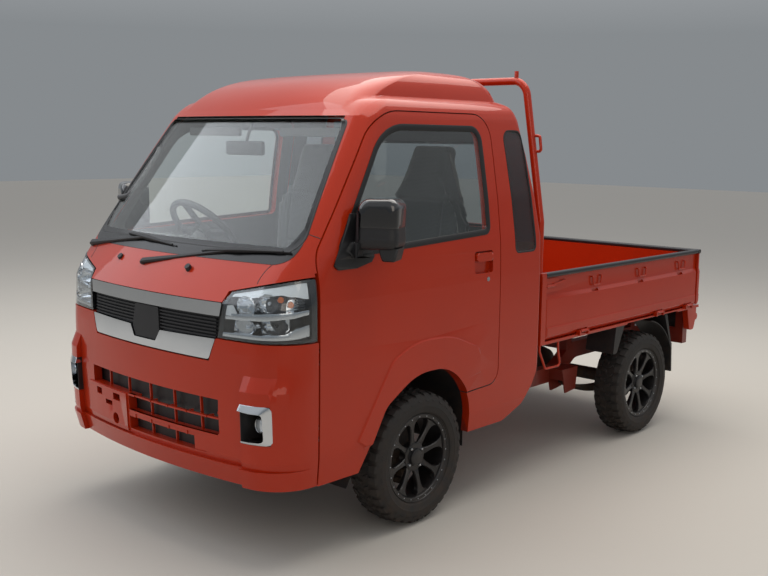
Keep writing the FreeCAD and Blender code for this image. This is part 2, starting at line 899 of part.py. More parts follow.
def make_dashboard():
    """Instrument panel across the cab, with the steering column under it."""
    front = nose_y + 137.5
    panel = prism_x(
        [
            (front, 900),
            (front - 25, 960),
            (front, 1110),
            (front + 60, 1148),
            (front + 230, 1128),
            (front + 270, 1070),
            (front + 240, 940),
            (front + 160, 900),
        ],
        -660,
        660,
        [0, 20, 20, 20, 30, 40, 30, 0],
    )
    x = steering_centre[0]
    hood = prism_x(
        [(front + 120, 1100), (front + 150, 1190), (front + 262, 1176), (front + 250, 1090)],
        x - 150,
        x + 150,
        [0, 24, 12, 0],
    )
    console = prism_x(
        [(front + 150, 760), (front + 120, 950), (front + 250, 950), (front + 238, 780)],
        -110,
        110,
        [10, 0, 0, 24],
    )
    centre = V(*steering_centre)
    column = rod(centre - steering_axis * 300, centre - steering_axis * 30.3, 34)
    shaft = rod(centre - steering_axis * 60, centre - steering_axis * 8, 9)
    panel = fuse([panel, hood, console])
    return fuse([biggest(panel.common(cab_form(wall))), column, shaft])


steering_lean = 49.0
steering_centre = (-340.0, nose_y + 567.5, 1182.0)
steering_axis = V(0, math.sin(math.radians(steering_lean)), math.cos(math.radians(steering_lean)))


def make_steering_wheel():
    """Steering wheel rim, spokes and hub, tilted towards the driver."""
    rim = Part.makeTorus(178, 15)
    hub = Part.makeCylinder(50, 40, V(0, 0, -30))
    spokes = [box(-168, 168, -14, 14, -8, 8), box(-14, 14, -168, 0, -8, 8)]
    wheel = fuse([rim, hub] + spokes)
    wheel = wheel.cut(Part.makeCylinder(9.05, 24, V(0, 0, -31)))
    wheel.rotate(V(0, 0, 0), V(1, 0, 0), -steering_lean)
    wheel.translate(V(*steering_centre))
    return wheel


def make_seat():
    """Left seat: cushion and tall backrest with its headrest in one piece."""
    low, rear = seat_box_z + 0.3, recess_rear_y
    cushion = prism_x(
        [
            (rear - 666, low),
            (rear - 681, 850),
            (rear - 636, 885),
            (rear - 176, 870),
            (rear - 136, low),
        ],
        140,
        610,
        30,
    )
    back = prism_x(
        [
            (rear - 226, 820),
            (rear - 146, 1450),
            (rear - 106, 1595),
            (rear - 36, 1590),
            (rear - 36, 1450),
            (rear - 96, 820),
        ],
        150,
        600,
        25,
    )
    front_view = [
        (150, 700),
        (600, 700),
        (600, 1300),
        (500, 1420),
        (475, 1600),
        (275, 1600),
        (250, 1420),
        (150, 1300),
    ]
    sides = prism_y(front_view, rear - 700, rear + 90, 40)
    return fuse([cushion, back.common(sides)])


spring_front = (rear_axle_y - 423, 319.0)
spring_rear = (rear_axle_y + 460, 352.0)
eye_radius = 9.0
shaft_front = (0.0, front_axle_y + 400, 500.0)
shaft_rear = (0.0, rear_axle_y - 103, 334.0)
rail_low_z = 330.0
rail_high_z = 412.0
rear_rail_low_z = 430.0
rear_rail_high_z = 520.0


def make_frame():
    """Ladder frame: two rails, cross members, spring hangers and rear bumper bar."""
    front, back = nose_y + 137.5, tail_y - 57.5
    kink, waist = front_axle_y + 280, cab_rear_y - 258
    plan = [
        (330, front),
        (330, kink),
        (400, waist),
        (400, back),
        (450, back),
        (450, waist - 14),
        (380, kink - 14),
        (380, front),
    ]
    side = [
        (front, rail_low_z),
        (front, rail_high_z),
        (rear_axle_y - 460, rail_high_z),
        (rear_axle_y - 300, rear_rail_high_z),
        (back, rear_rail_high_z),
        (back, rear_rail_low_z),
        (rear_axle_y - 270, rear_rail_low_z),
        (rear_axle_y - 420, rail_low_z),
    ]
    rail = prism_z(plan, 200, 700).common(prism_x(side, 200, 600, [0, 0, 80, 80, 0, 0, 80, 80]))
    parts = [rail, mirrored(rail)]
    members = [
        (front + 60, rail_low_z + 10),
        (kink, rail_low_z + 10),
        (bed_front_y + 136, rail_low_z),
        (rear_axle_y - 200, rear_rail_low_z + 15),
        (rear_axle_y + 340, rear_rail_low_z + 15),
    ]
    for y, z in members:
        parts.append(box(-420, 420, y, y + 60, z, z + 60))
    y, z = spring_front
    hanger = prism_x(
        [(y - 74, z - 38), (y + 23, z - 28), (y + 39, rail_high_z), (y - 112, rail_high_z)], 440, 540
    )
    hanger = hanger.cut(box(452, 532, y - 200, y + 200, 200, z + 31))
    parts += [hanger, mirrored(hanger)]
    parts.append(box(-690, 690, back - 52, back, rear_rail_low_z, rear_rail_high_z))
    post = box(640, 690, back - 52, back, rear_rail_low_z, bed_low_z)
    parts += [post, mirrored(post)]
    for y, low in (
        (bed_front_y + 46, 400),
        (rear_axle_y - 360, 470),
        (rear_axle_y + 340, 500),
    ):
        mount = box(400, 450, y, y + 50, low, bed_low_z)
        parts += [mount, mirrored(mount)]
    return fuse(parts)


groove_depth = 5.0
groove_pitch = 84.0
hook_radius = 6.0


def rope_loop():
    """The bent rod under the left front of the bed, in which ropes are tied."""
    x, y, z = half_width - 12, bed_front_y, bed_low_z
    route = [(x, y + 6, z + 6), (x, y + 8, z - 30), (x, y + 62, z - 122), (x, y + 192, z - 124)]
    route += [(x, y + 168, z - 40), (x, y + 166, z + 6)]
    return bent_bar(route, hook_radius, 18)


def corner_plate():
    """The left rear bracket that stands down from the bed's corner beside the lamp."""
    y, z = tail_y, bed_low_z + 6
    corners = [(y - 150, z), (y - 112, z - 134), (y - 60, z - 134), (y - 35, z - 60), (y - 35, z)]
    plate = prism_x(corners, half_width - 40, half_width - 6, [0, 20, 20, 10, 0])
    hollow = prism_x(offset_polygon(corners, 6), half_width - 40, half_width - 12, 8)
    stop = rod((half_width - 12, y - 24, z - 62), (half_width - 30, y - 24, z - 62), 20)
    arm = box(half_width - 26, half_width - 14, y - 60, y - 30, z - 68, z - 56)
    return fuse([plate.cut(hollow), arm, stop])


def make_bed():
    """Bed floor with grooves and cross ribs, sills, front posts, hinge eyes and rope loops."""
    top = bed_floor_z
    inner = gate_out_x - gate_thickness - gate_gap
    rear_inner = tailgate_out_y - gate_thickness - gate_gap
    under = top - bed_floor_thickness
    floor = box(-inner, inner, bed_front_y, rear_inner, under, top)
    tongue = box(-580, 580, recess_rear_y, bed_front_y, under, top)
    grooves = []
    for i in range(int((inner - 40) / groove_pitch)):
        x = groove_pitch * (i + 0.5)
        groove = box(x - 14, x + 14, bed_front_y + 70, rear_inner - 50, top - groove_depth, top + 1)
        grooves += [groove, mirrored(groove)]
    floor = floor.cut(Part.makeCompound(grooves))
    lip_low, lip_high = bed_low_z, gate_low_z - gate_gap
    outer = half_width - 3
    side_lip = box(inner - 40, outer, bed_front_y, tail_y - 10, lip_low, lip_high)
    scallop = prism_x(
        [
            (rear_axle_y - 232, lip_low - 2),
            (rear_axle_y - 212, lip_low + 7),
            (rear_axle_y + 350, lip_low + 7),
            (rear_axle_y + 370, lip_low - 2),
        ],
        inner + 6,
        800,
    )
    side_lip = side_lip.cut(scallop)
    side_wall = box(inner - 40, inner, bed_front_y, rear_inner, lip_low, top)
    rear_lip = box(-outer, outer, rear_inner - 40, tail_y - 10, lip_low, lip_high)
    rear_wall = box(-inner, inner, rear_inner - 40, rear_inner, lip_low, top)
    post = box(650, outer, bed_front_y, bed_front_y + bed_wall, bed_low_z, top + gate_height)
    parts = [floor, tongue, side_lip, mirrored(side_lip), side_wall, mirrored(side_wall)]
    parts += [rear_lip, rear_wall, post, mirrored(post)]
    for piece in (rope_loop(), corner_plate()):
        parts += [piece, mirrored(piece)]
    y, z = tailgate_hinge_y, gate_hinge_z
    for x in tailgate_hinge_places:
        parts.append(rod((x - ear_half, y, z), (x + ear_half, y, z), gate_pin_radius))
        for ear in (x - ear_half, x + ear_half - ear_thickness):
            parts.append(box(ear, ear + ear_thickness, tail_y - 24, y + 6, lip_low + 8, z + 5))
    for side in (-1, 1):
        x = side * gate_hinge_x
        for y in gate_hinge_places:
            parts.append(rod((x, y - ear_half, z), (x, y + ear_half, z), gate_pin_radius))
            for ear in (y - ear_half, y + ear_half - ear_thickness):
                reach = sorted([x + side * 6, side * (half_width - 14)])
                parts.append(box(*reach, ear, ear + ear_thickness, lip_low + 8, z + 5))
    for y in (bed_front_y + 46, rear_axle_y - 360, rear_axle_y + 340):
        parts.append(box(-inner, inner, y, y + 50, lip_low, under))
    return fuse(parts)


gate_crease_z = 720.0
gate_ledge_z = 858.0
gate_strip_depth = 18.0


def gate_profile(out):
    """Section through a drop side: foot, creased panel, ledge and set-back upper strip."""
    inside = out - gate_thickness
    top = bed_floor_z + gate_height - 12
    return [
        (inside, gate_low_z),
        (out - 12, gate_low_z),
        (out, gate_low_z + 20),
        (out, gate_crease_z),
        (out - 4, gate_crease_z + 7),
        (out - 4, gate_ledge_z),
        (out - gate_strip_depth, gate_ledge_z + 22),
        (out - gate_strip_depth, top),
        (inside, top),
    ]


rail_half = 12.0
rail_width = 32.0


def rail_profile(out):
    """Section of the black rail along the top of a drop side."""
    top = bed_floor_z + gate_height
    return [
        (out - rail_width, top - rail_half),
        (out, top - rail_half),
        (out, top + rail_half),
        (out - rail_width, top + rail_half),
    ]


def gate_hook(y):
    """A rope hook on the upper strip of the left drop side: a bent rod on two feet."""
    x = gate_out_x - gate_strip_depth
    z0, z1 = gate_ledge_z + 34, gate_ledge_z + 76
    rod_x = x + 11
    loop = bent_bar(
        [(x - 6, y - 42, z1), (rod_x, y - 42, z1), (rod_x, y - 34, z0), (rod_x, y + 34, z0)]
        + [(rod_x, y + 42, z1), (x - 6, y + 42, z1)],
        4,
        5,
    )
    return loop


def gate_latch():
    """The left drop side's front latch: its plate, bolt and handle."""
    x = gate_out_x - gate_strip_depth - 2
    y, z = gate_start_y + 6, bed_floor_z + gate_height - 14
    plate = box(x, x + 8, y, y + 112, z - 70, z - 4)
    bolt = rod((x + 10, y - 2, z - 40), (x + 10, y + 70, z - 40), 8)
    lever = prism_x([(y + 60, z - 48), (y + 60, z - 30), (y + 168, z - 18), (y + 168, z - 30)], x, x + 14)
    return fuse([plate, bolt, lever])


def make_side_gate():
    """Left drop side: creased panel with hinge barrels, rope hooks and its latch."""
    y0, y1 = gate_start_y, gate_end_y
    out = gate_out_x
    panel = prism_y(gate_profile(out), y0, y1)
    for end, step in ((y0, 1), (y1, -1)):
        slope = [(out - gate_strip_depth, end - step), (out + 1, end - step), (out + 1, end + step * 16)]
        panel = panel.cut(prism_z(slope, gate_low_z - 1, gate_ledge_z + 30))
    for y in gate_hook_places:
        slot = box(out - 16, out, y - 46, y + 14, gate_ledge_z + 1, gate_ledge_z + 14)
        panel = panel.cut(slot)
    parts = [panel, gate_latch()] + [gate_hook(y) for y in gate_hook_places]
    x, z = gate_hinge_x, gate_hinge_z
    half = hinge_barrel_half
    for y in gate_hinge_places:
        parts.append(box(out - 12, x, y - half, y + half, z - 4, z + 5))
        parts.append(rod((x, y - half, z), (x, y + half, z), gate_hinge_radius))
    gate = fuse(parts)
    ears = [box(700, 760, y + a - 8, y + a + 8, 600, z + 12) for y in gate_hinge_places for a in (-39, 39)]
    gate = gate.cut(Part.makeCompound(ears))
    bores = []
    for y in gate_hinge_places:
        bores.append(rod((x, y - half - 1, z), (x, y + half + 1, z), gate_pin_radius + pin_gap))
    return biggest(gate.cut(Part.makeCompound(bores)))


gate_start_y = bed_front_y + bed_wall + gate_gap
gate_end_y = tailgate_out_y - gate_thickness - gate_gap
gate_hook_places = (gate_start_y + 465, gate_start_y + 934, gate_start_y + 1395)


def make_gate_rail():
    """Black rail along the top of the left drop side."""
    return prism_y(rail_profile(gate_out_x), gate_start_y, gate_end_y, 11)


def make_tailgate():
    """Tailgate panel with its hinge barrels."""
    side = half_width - 6
    half = hinge_barrel_half
    parts = [prism_x(gate_profile(tailgate_out_y), -side, side)]
    y, z = tailgate_hinge_y, gate_hinge_z
    ears, bores = [], []
    for x in tailgate_hinge_places:
        parts.append(box(x - half, x + half, tailgate_out_y - 12, y, z - 4, z + 5))
        parts.append(rod((x - half, y, z), (x + half, y, z), gate_hinge_radius))
        bores.append(rod((x - half - 1, y, z), (x + half + 1, y, z), gate_pin_radius + pin_gap))
        for a in (-39, 39):
            ears.append(box(x + a - 8, x + a + 8, y - 30, y + 12, 600, z + 12))
    gate = fuse(parts)
    return biggest(gate.cut(Part.makeCompound(ears)).cut(Part.makeCompound(bores)))


def make_tailgate_rail():
    """Black rail along the top of the tailgate."""
    side = half_width - 6
    return prism_x(rail_profile(tailgate_out_y), -side, side, 11)


hoop_radius = 18.0
hoop_half = 698.0
hoop_top_half = 588.0
hoop_top_z = 1886.0
horn_half = 535.0


def make_guard_frame():
    """Bent tube hoop behind the cab, with its cross bar, horns and rope hooks."""
    y = bed_front_y + bed_wall / 2
    foot_z, bend_z = bed_floor_z + gate_height + 3, 1230
    hoop = bent_bar(
        [
            (-hoop_half, y, foot_z),
            (-hoop_half, y, bend_z),
            (-hoop_top_half, y, hoop_top_z),
            (hoop_top_half, y, hoop_top_z),
            (hoop_half, y, bend_z),
            (hoop_half, y, foot_z),
        ],
        hoop_radius,
        80,
    )
    parts = [hoop, rod((-hoop_half + 6, y, 1190), (hoop_half - 6, y, 1190), 12)]
    for side in (-1, 1):
        x = side * hoop_half
        parts.append(box(x - 34, x + 34, bed_front_y, bed_front_y + bed_wall, foot_z - 3, foot_z + 10))
        x = side * horn_half
        parts.append(rod((x, y, hoop_top_z), (x, y, hoop_top_z + 46), 10))
        x = side * (hoop_half - 54)
        route = [(x, y, 1560), (x + side * 44, y, 1560), (x + side * 34, y, 1632), (x - side * 10, y, 1632)]
        parts.append(bent_bar(route, 7, 12))
    return fuse(parts)


def make_tail_lamps():
    """Left and right rear lamp blocks on the rear bumper bar, their lenses to the rear."""
    y, z = tail_y - 57.5, rear_rail_high_z
    corners = [(430, z), (430, z + 96), (640, z + 96), (640, z)]
    return both(prism_y(corners, y - 40, y + 26, 12))


def make_rear_axle():
    """Turned axle beam: hubs, brake drums, tubes and the differential's case."""
    end = wheel_x + hub_end
    half = [
        (end, 0),
        (end, hub_radius),
        (612, hub_radius),
        (612, 100),
        (560, 100),
        (560, 36),
        (120, 36),
        (85, 96),
        (40, 108),
    ]
    profile = half + [(-a, r) for a, r in reversed(half)]
    return ring_x(profile, 0, rear_axle_y, axle_z)


def make_leaf_springs():
    """Left and right leaf springs with their eye pins, shackles and axle pads."""
    top, thick = 257.0, 26.0
    middle = rear_axle_y

    def leaf(y0, z0, y1, z1, low, depth):
        a, b, c = V(470, y0, z0), V(470, middle, low), V(470, y1, z1)
        drop = V(0, 0, -depth)
        edges = [
            Part.Arc(a, b, c).toShape(),
            Part.LineSegment(c, c + drop).toShape(),
            Part.Arc(c + drop, b + drop, a + drop).toShape(),
            Part.LineSegment(a + drop, a).toShape(),
        ]
        return Part.Face(Part.Wire(edges)).extrude(V(44, 0, 0))

    parts = [
        leaf(*spring_front, *spring_rear, top, 12),
        leaf(middle - 300, 284, middle + 320, 294, top - 11, thick),
    ]
    for y, z in (spring_front, spring_rear):
        parts.append(rod((470, y, z), (514, y, z), 17))
        parts.append(rod((452, y, z), (532, y, z), eye_radius))
    parts.append(box(462, 522, middle - 45, middle + 45, top - 52, axle_z - 28))
    y, z = spring_rear
    for x in (454, 522):
        parts.append(box(x, x + 8, y - 18, y + 18, z - 12, rear_rail_low_z))
    parts.append(box(446, 532, y - 18, y + 18, rear_rail_low_z - 10, rear_rail_low_z))
    return both(fuse(parts).cut(rod((400, middle, axle_z), (600, middle, axle_z), 36)))


def make_engine():
    """Engine and gearbox under the seats, with the propeller shaft to the rear axle."""
    front = front_axle_y - 280
    block = prism_x(
        [
            (front, 520),
            (front + 60, 676),
            (front + 430, 676),
            (front + 520, 600),
            (front + 680, 580),
            (front + 680, 420),
            (front + 400, 400),
            (front + 40, 400),
        ],
        -180,
        180,
        16,
    )
    sump = box(-230, 230, front + 60, front + 420, 440, 640)
    shaft = rod(shaft_front, shaft_rear, 24)
    low = rail_high_z + seat_gap
    beam = box(-370, 370, front + 370, front + 420, low, low + 24)
    return fuse([block, sump, shaft, beam])


guard_inner_x = 560.0
guard_outer_x = 728.0
guard_radius = 345.0


def make_mud_guards():
    """Rear wheel guards: slanted stays before the wheels, curved sheets and flaps behind."""
    x0, x1, low = guard_inner_x, guard_outer_x, bed_low_z
    y = rear_axle_y
    front = prism_x(
        [(y - 324, low), (y - 236, low), (y - 306, 500), (y - 345, 494)], x0, x1, [0, 0, 10, 10]
    )
    hollow = prism_x([(y - 309, low + 1), (y - 251, low + 1), (y - 320, 480), (y - 331, 480)], x0 + 8, x1 - 8)
    front = front.cut(hollow)
    centre = V(x0, y, axle_z)
    angles = [math.radians(a) for a in (24, 50, 80)]
    ring = []
    for r in (guard_radius, guard_radius + 5):
        ring.append([centre + V(0, r * math.cos(a), r * math.sin(a)) for a in angles])
    edges = [
        Part.Arc(*ring[0]).toShape(),
        Part.LineSegment(ring[0][2], ring[1][2]).toShape(),
        Part.Arc(*reversed(ring[1])).toShape(),
        Part.LineSegment(ring[1][0], ring[0][0]).toShape(),
    ]
    sheet = Part.Face(Part.Wire(edges)).extrude(V(x1 - x0, 0, 0))
    sheet = sheet.common(box(x0, x1, y, tail_y, 200, low))
    flap_y = y + guard_radius * math.cos(angles[0]) - 8
    flap = prism_x(
        [(flap_y, 470), (flap_y + 12, 470), (flap_y + 26, 300), (flap_y + 14, 300)], x0 + 4, x1, 2
    )
    hanger = prism_x(
        [(flap_y - 90, low), (flap_y - 60, low), (flap_y + 13, 446), (flap_y + 4, 440)], x0, x1, 2
    )
    return Part.makeCompound([both(fuse([flap, hanger, sheet])), both(front)])


def kingpin(z):
    """The point of the left steering axis at a height; it leans in at the top."""
    return (628 - (z - 170) * 128 / 580, front_axle_y, z)


def make_front_suspension():
    """Lower arms and the struts' upper spring cups, each with its steering bore."""
    near, far = front_axle_y - 26, front_axle_y + 26
    plan = [(330, front_axle_y - 60), (330, front_axle_y + 60), (648, far), (648, near)]
    arm = prism_z(plan, 160, 182, [0, 0, 24, 24])
    arm = arm.cut(rod(kingpin(150), kingpin(190), ball_pin_radius + pin_gap))
    bracket = prism_y([(330, 160), (330, rail_low_z), (380, rail_low_z), (372, 160)], near - 34, far + 34)
    arm = arm.fuse(bracket)
    x, y, z = kingpin(cup_z)
    cup = Part.makeCylinder(62, floor_bottom_z - cup_z, V(x, y, z))
    cup = cup.cut(rod(kingpin(cup_z - 10), kingpin(cup_z + 30), top_pin_radius + pin_gap))
    return Part.makeCompound([arm, mirrored(arm), cup, mirrored(cup)])


def make_knuckle():
    """Left knuckle with its strut, brake disc and stub axle."""
    body = box(512, 600, front_axle_y - 30, front_axle_y + 30, 190, 360)
    arm = box(590, 640, front_axle_y - 24, front_axle_y + 24, 190, 230)
    pin = rod(kingpin(158), kingpin(200), ball_pin_radius)
    hub = rod((590, front_axle_y, axle_z), (wheel_x + hub_end, front_axle_y, axle_z), hub_radius)
    disc = rod((600, front_axle_y, axle_z), (610, front_axle_y, axle_z), 97)
    strut = rod((530, front_axle_y, 340), kingpin(cup_z - 8), 24)
    top = rod(kingpin(cup_z - 20), kingpin(cup_z + 14), top_pin_radius)
    return fuse([body, arm, pin, hub, disc, strut, top])


def make_tyre():
    """Tyre centred on the origin, its axle along X."""
    half = tyre_width / 2
    return ring_x(
        [
            (-rim_half_width, tyre_bead_radius),
            (-rim_half_width, rim_lip_radius + 1.5),
            (-half + 4, 205),
            (-half, 232),
            (-half + 4, 262),
            (-half + 16, tyre_radius),
            (half - 16, tyre_radius),
            (half - 4, 262),
            (half, 232),
            (half - 4, 205),
            (rim_half_width, rim_lip_radius + 1.5),
            (rim_half_width, tyre_bead_radius),
        ],
        0,
        0,
        0,
    )


def make_rim():
    """Eight-spoke rim centred on the origin, its face towards +X."""
    seat, edge = rim_half_width + seat_gap, rim_half_width + rim_lip
    barrel = ring_x(
        [
            (-edge, 168),
            (-edge, rim_lip_radius),
            (-seat, rim_lip_radius),
            (-seat, tyre_bead_radius - seat_gap),
            (seat, tyre_bead_radius - seat_gap),
            (seat, rim_lip_radius),
            (edge, rim_lip_radius),
            (edge + 2, 184),
            (edge, 160),
            (-edge + 8, 160),
        ],
        0,
        0,
        0,
    )
    bore = hub_radius + hub_gap
    face = ring_x([(20, bore), (20, 162), (56, 162), (50, 60), (54, bore)], 0, 0, 0)
    cuts = []
    for i in range(spoke_count):
        angle = 360.0 / spoke_count * (i + 0.5)
        spread = math.pi / spoke_count
        inner, outer = rim_window_inner, rim_window_outer
        window = prism_x(
            [
                (-outer * math.sin(spread) * window_outer_share, outer * 0.97),
                (outer * math.sin(spread) * window_outer_share, outer * 0.97),
                (inner * math.sin(spread) * window_inner_share, inner),
                (-inner * math.sin(spread) * window_inner_share, inner),
            ],
            -10,
            100,
            8,
        )
        window.rotate(V(0, 0, 0), V(1, 0, 0), angle)
        cuts.append(window)
    for cut in cuts:
        face = face.cut(cut)
    return fuse([barrel, face])


def placed(shape, x, y, z, turn=False):
    """A wheel piece moved to its axle; the right side faces the other way."""
    copy = shape.copy()
    if turn:
        copy.rotate(V(0, 0, 0), V(0, 0, 1), 180)
    copy.translate(V(x, y, z))
    return copy


wiper_pivots = ((-612, nose_y + 165, 1132), (-107, nose_y + 86, 1100))
wiper_blades = (
    ((-340, nose_y + 168, 1194), (44, nose_y + 138, 1170)),
    ((200, nose_y + 138, 1166), (640, nose_y + 212, 1190)),
)
blade_height = 9.0


def make_wipers():
    """Two wiper arms with their blades, parked along the windshield's foot."""
    arms = []
    for pivot, (start, end) in zip(wiper_pivots, wiper_blades):
        lift = V(0, -blade_height, 0)
        base, a, b = V(*pivot), V(*start) + lift, V(*end) + lift
        middle = a + (b - a) * 0.42
        cap = rod(base + V(0, 18, -22), base + V(0, -14, 14), 15)
        knee = base + V(0, -12, 12)
        parts = [cap, rod(knee, middle, 6), rod(a, b, 7), rod(knee, knee + (middle - knee) * 0.3, 9)]
        arms.append(fuse(parts))
    return Part.makeCompound([biggest(arm.cut(outer_form)) for arm in arms])


def build():
    """Every piece of the truck by its node name."""
    side_frame = make_side_frame()
    corner = make_corner_piece()
    side_frame = fuse([side_frame, corner])
    door_panel, door_glass, mirror = make_door_panel(), make_door_glass(), make_mirror()
    gate, rail = make_side_gate(), make_gate_rail()
    knuckle = make_knuckle()
    tyre, rim = make_tyre(), make_rim()
    nodes = {
        "frame_rails": make_frame(),
        "cab_floor": make_cab_floor(),
        "side_frame_left": side_frame,
        "side_frame_right": mirrored(side_frame),
        "roof_panel": make_roof(),
        "back_panel": make_back_panel(),
        "front_panel": make_front_panel(),
        "bumper": make_bumper(),
        "grille": make_grille(),
        "chrome_trim": make_chrome(),
        "headlamps": make_headlamps(),
        "fog_lamps": make_fog_lamps(),
        "windshield": make_windshield(),
        "cab_glass": make_cab_glass(),
        "wipers": make_wipers(),
        "door_hinges": make_door_hinges(),
        "dashboard": make_dashboard(),
        "steering_wheel": make_steering_wheel(),
        "seat_left": make_seat(),
        "seat_right": mirrored(make_seat()),
        "bed": make_bed(),
        "guard_frame": make_guard_frame(),
        "tail_lamps": make_tail_lamps(),
        "rear_axle": make_rear_axle(),
        "leaf_springs": make_leaf_springs(),
        "engine": make_engine(),
        "mud_guards": make_mud_guards(),
        "front_suspension": make_front_suspension(),
        "door_panel_left": door_panel,
        "door_glass_left": door_glass,
        "mirror_left": mirror,
        "door_panel_right": mirrored(door_panel),
        "door_glass_right": mirrored(door_glass),
        "mirror_right": mirrored(mirror),
        "side_gate_left": gate,
        "gate_rail_left": rail,
        "side_gate_right": mirrored(gate),
        "gate_rail_right": mirrored(rail),
        "tailgate": make_tailgate(),
        "tailgate_rail": make_tailgate_rail(),
        "knuckle_left": knuckle,
        "knuckle_right": mirrored(knuckle),
    }
    for name, x, y in (
        ("front_left", wheel_x, front_axle_y),
        ("front_right", -wheel_x, front_axle_y),
        ("rear_left", wheel_x, rear_axle_y),
        ("rear_right", -wheel_x, rear_axle_y),
    ):
        nodes["tyre_" + name] = placed(tyre, x, y, axle_z)
        nodes["rim_" + name] = placed(rim, x, y, axle_z, x < 0)
    return nodes


def main():
    """Writes one STEP file for each piece."""
    os.makedirs("parts", exist_ok=True)
    for name, shape in build().items():
        shape.exportStep(os.path.join("parts", name + ".step"))


main()
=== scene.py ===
import json
import logging
import math
from collections.abc import Callable, Iterable, Sequence
from dataclasses import dataclass, field
from enum import Enum

import bmesh
import bpy
from bmesh.types import BMesh, BMFace, BMVert
from bpy.types import Material, Node, NodeSocket, NodeTree, Object
from mathutils import Matrix, Vector
from mathutils.bvhtree import BVHTree


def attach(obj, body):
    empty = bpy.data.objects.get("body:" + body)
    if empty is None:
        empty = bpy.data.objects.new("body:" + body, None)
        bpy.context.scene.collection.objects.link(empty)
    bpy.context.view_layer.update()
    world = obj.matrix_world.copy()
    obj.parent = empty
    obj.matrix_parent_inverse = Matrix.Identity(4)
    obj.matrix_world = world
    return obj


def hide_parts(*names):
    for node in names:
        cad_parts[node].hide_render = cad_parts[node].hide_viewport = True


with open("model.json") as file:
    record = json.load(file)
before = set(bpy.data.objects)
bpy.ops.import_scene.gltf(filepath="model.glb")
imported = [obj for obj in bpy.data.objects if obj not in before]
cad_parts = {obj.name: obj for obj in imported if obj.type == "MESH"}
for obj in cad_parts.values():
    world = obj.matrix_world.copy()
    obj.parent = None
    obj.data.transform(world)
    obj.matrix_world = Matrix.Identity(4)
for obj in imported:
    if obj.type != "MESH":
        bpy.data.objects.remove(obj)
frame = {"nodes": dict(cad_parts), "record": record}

log = logging.getLogger("kei_truck")

Point = tuple[float, float, float]
Line = Sequence[tuple[float, float]]

MM = 0.001
HALF_WIDTH = 737.5
FRONT_AXLE_Y = -840.0
REAR_AXLE_Y = 1060.0
AXLE_Z = 285.0
WHEEL_X = 650.0
CREASE = 28.0
SIDES = ((1, "left"), (-1, "right"))
CORNERS = (
    ("front_left", 1.0, FRONT_AXLE_Y),
    ("front_right", -1.0, FRONT_AXLE_Y),
    ("rear_left", 1.0, REAR_AXLE_Y),
    ("rear_right", -1.0, REAR_AXLE_Y),
)


class Grain(Enum):
    """How a surface was made, which gives it its fine relief."""

    SPRAYED = "sprayed"
    POWDER = "powder coated"
    MOULDED = "moulded"
    RUBBER = "vulcanised"
    CAST = "cast"
    WOVEN = "woven"
    POLISHED = "polished"
    CLEAR = "clear"


def linear(code: str) -> tuple[float, float, float, float]:
    """Turns an sRGB hex value into the linear colour that a shader takes.

    Args:
        code: six hex digits after a hash sign.

    Returns:
        Red, green, blue and an alpha of 1, each from 0 to 1.
    """
    parts = [int(code[i : i + 2], 16) / 255 for i in (1, 3, 5)]
    flat = [c / 12.92 if c <= 0.04045 else ((c + 0.055) / 1.055) ** 2.4 for c in parts]
    return (flat[0], flat[1], flat[2], 1.0)


def add(tree: NodeTree, kind: str, feeds: dict | None = None, **settings: object) -> Node:
    """Adds a node with its settings and what feeds it.

    Args:
        tree: the tree that gets the node.
        kind: the node's type.
        feeds: input socket, by name or number, to a value or to another node's output.
        settings: the node's own attributes.

    Returns:
        The new node.
    """
    node = tree.nodes.new(kind)
    for name, value in settings.items():
        setattr(node, name, value)
    for key, value in (feeds or {}).items():
        if isinstance(value, NodeSocket):
            tree.links.new(value, node.inputs[key])
        else:
            node.inputs[key].default_value = value
    return node


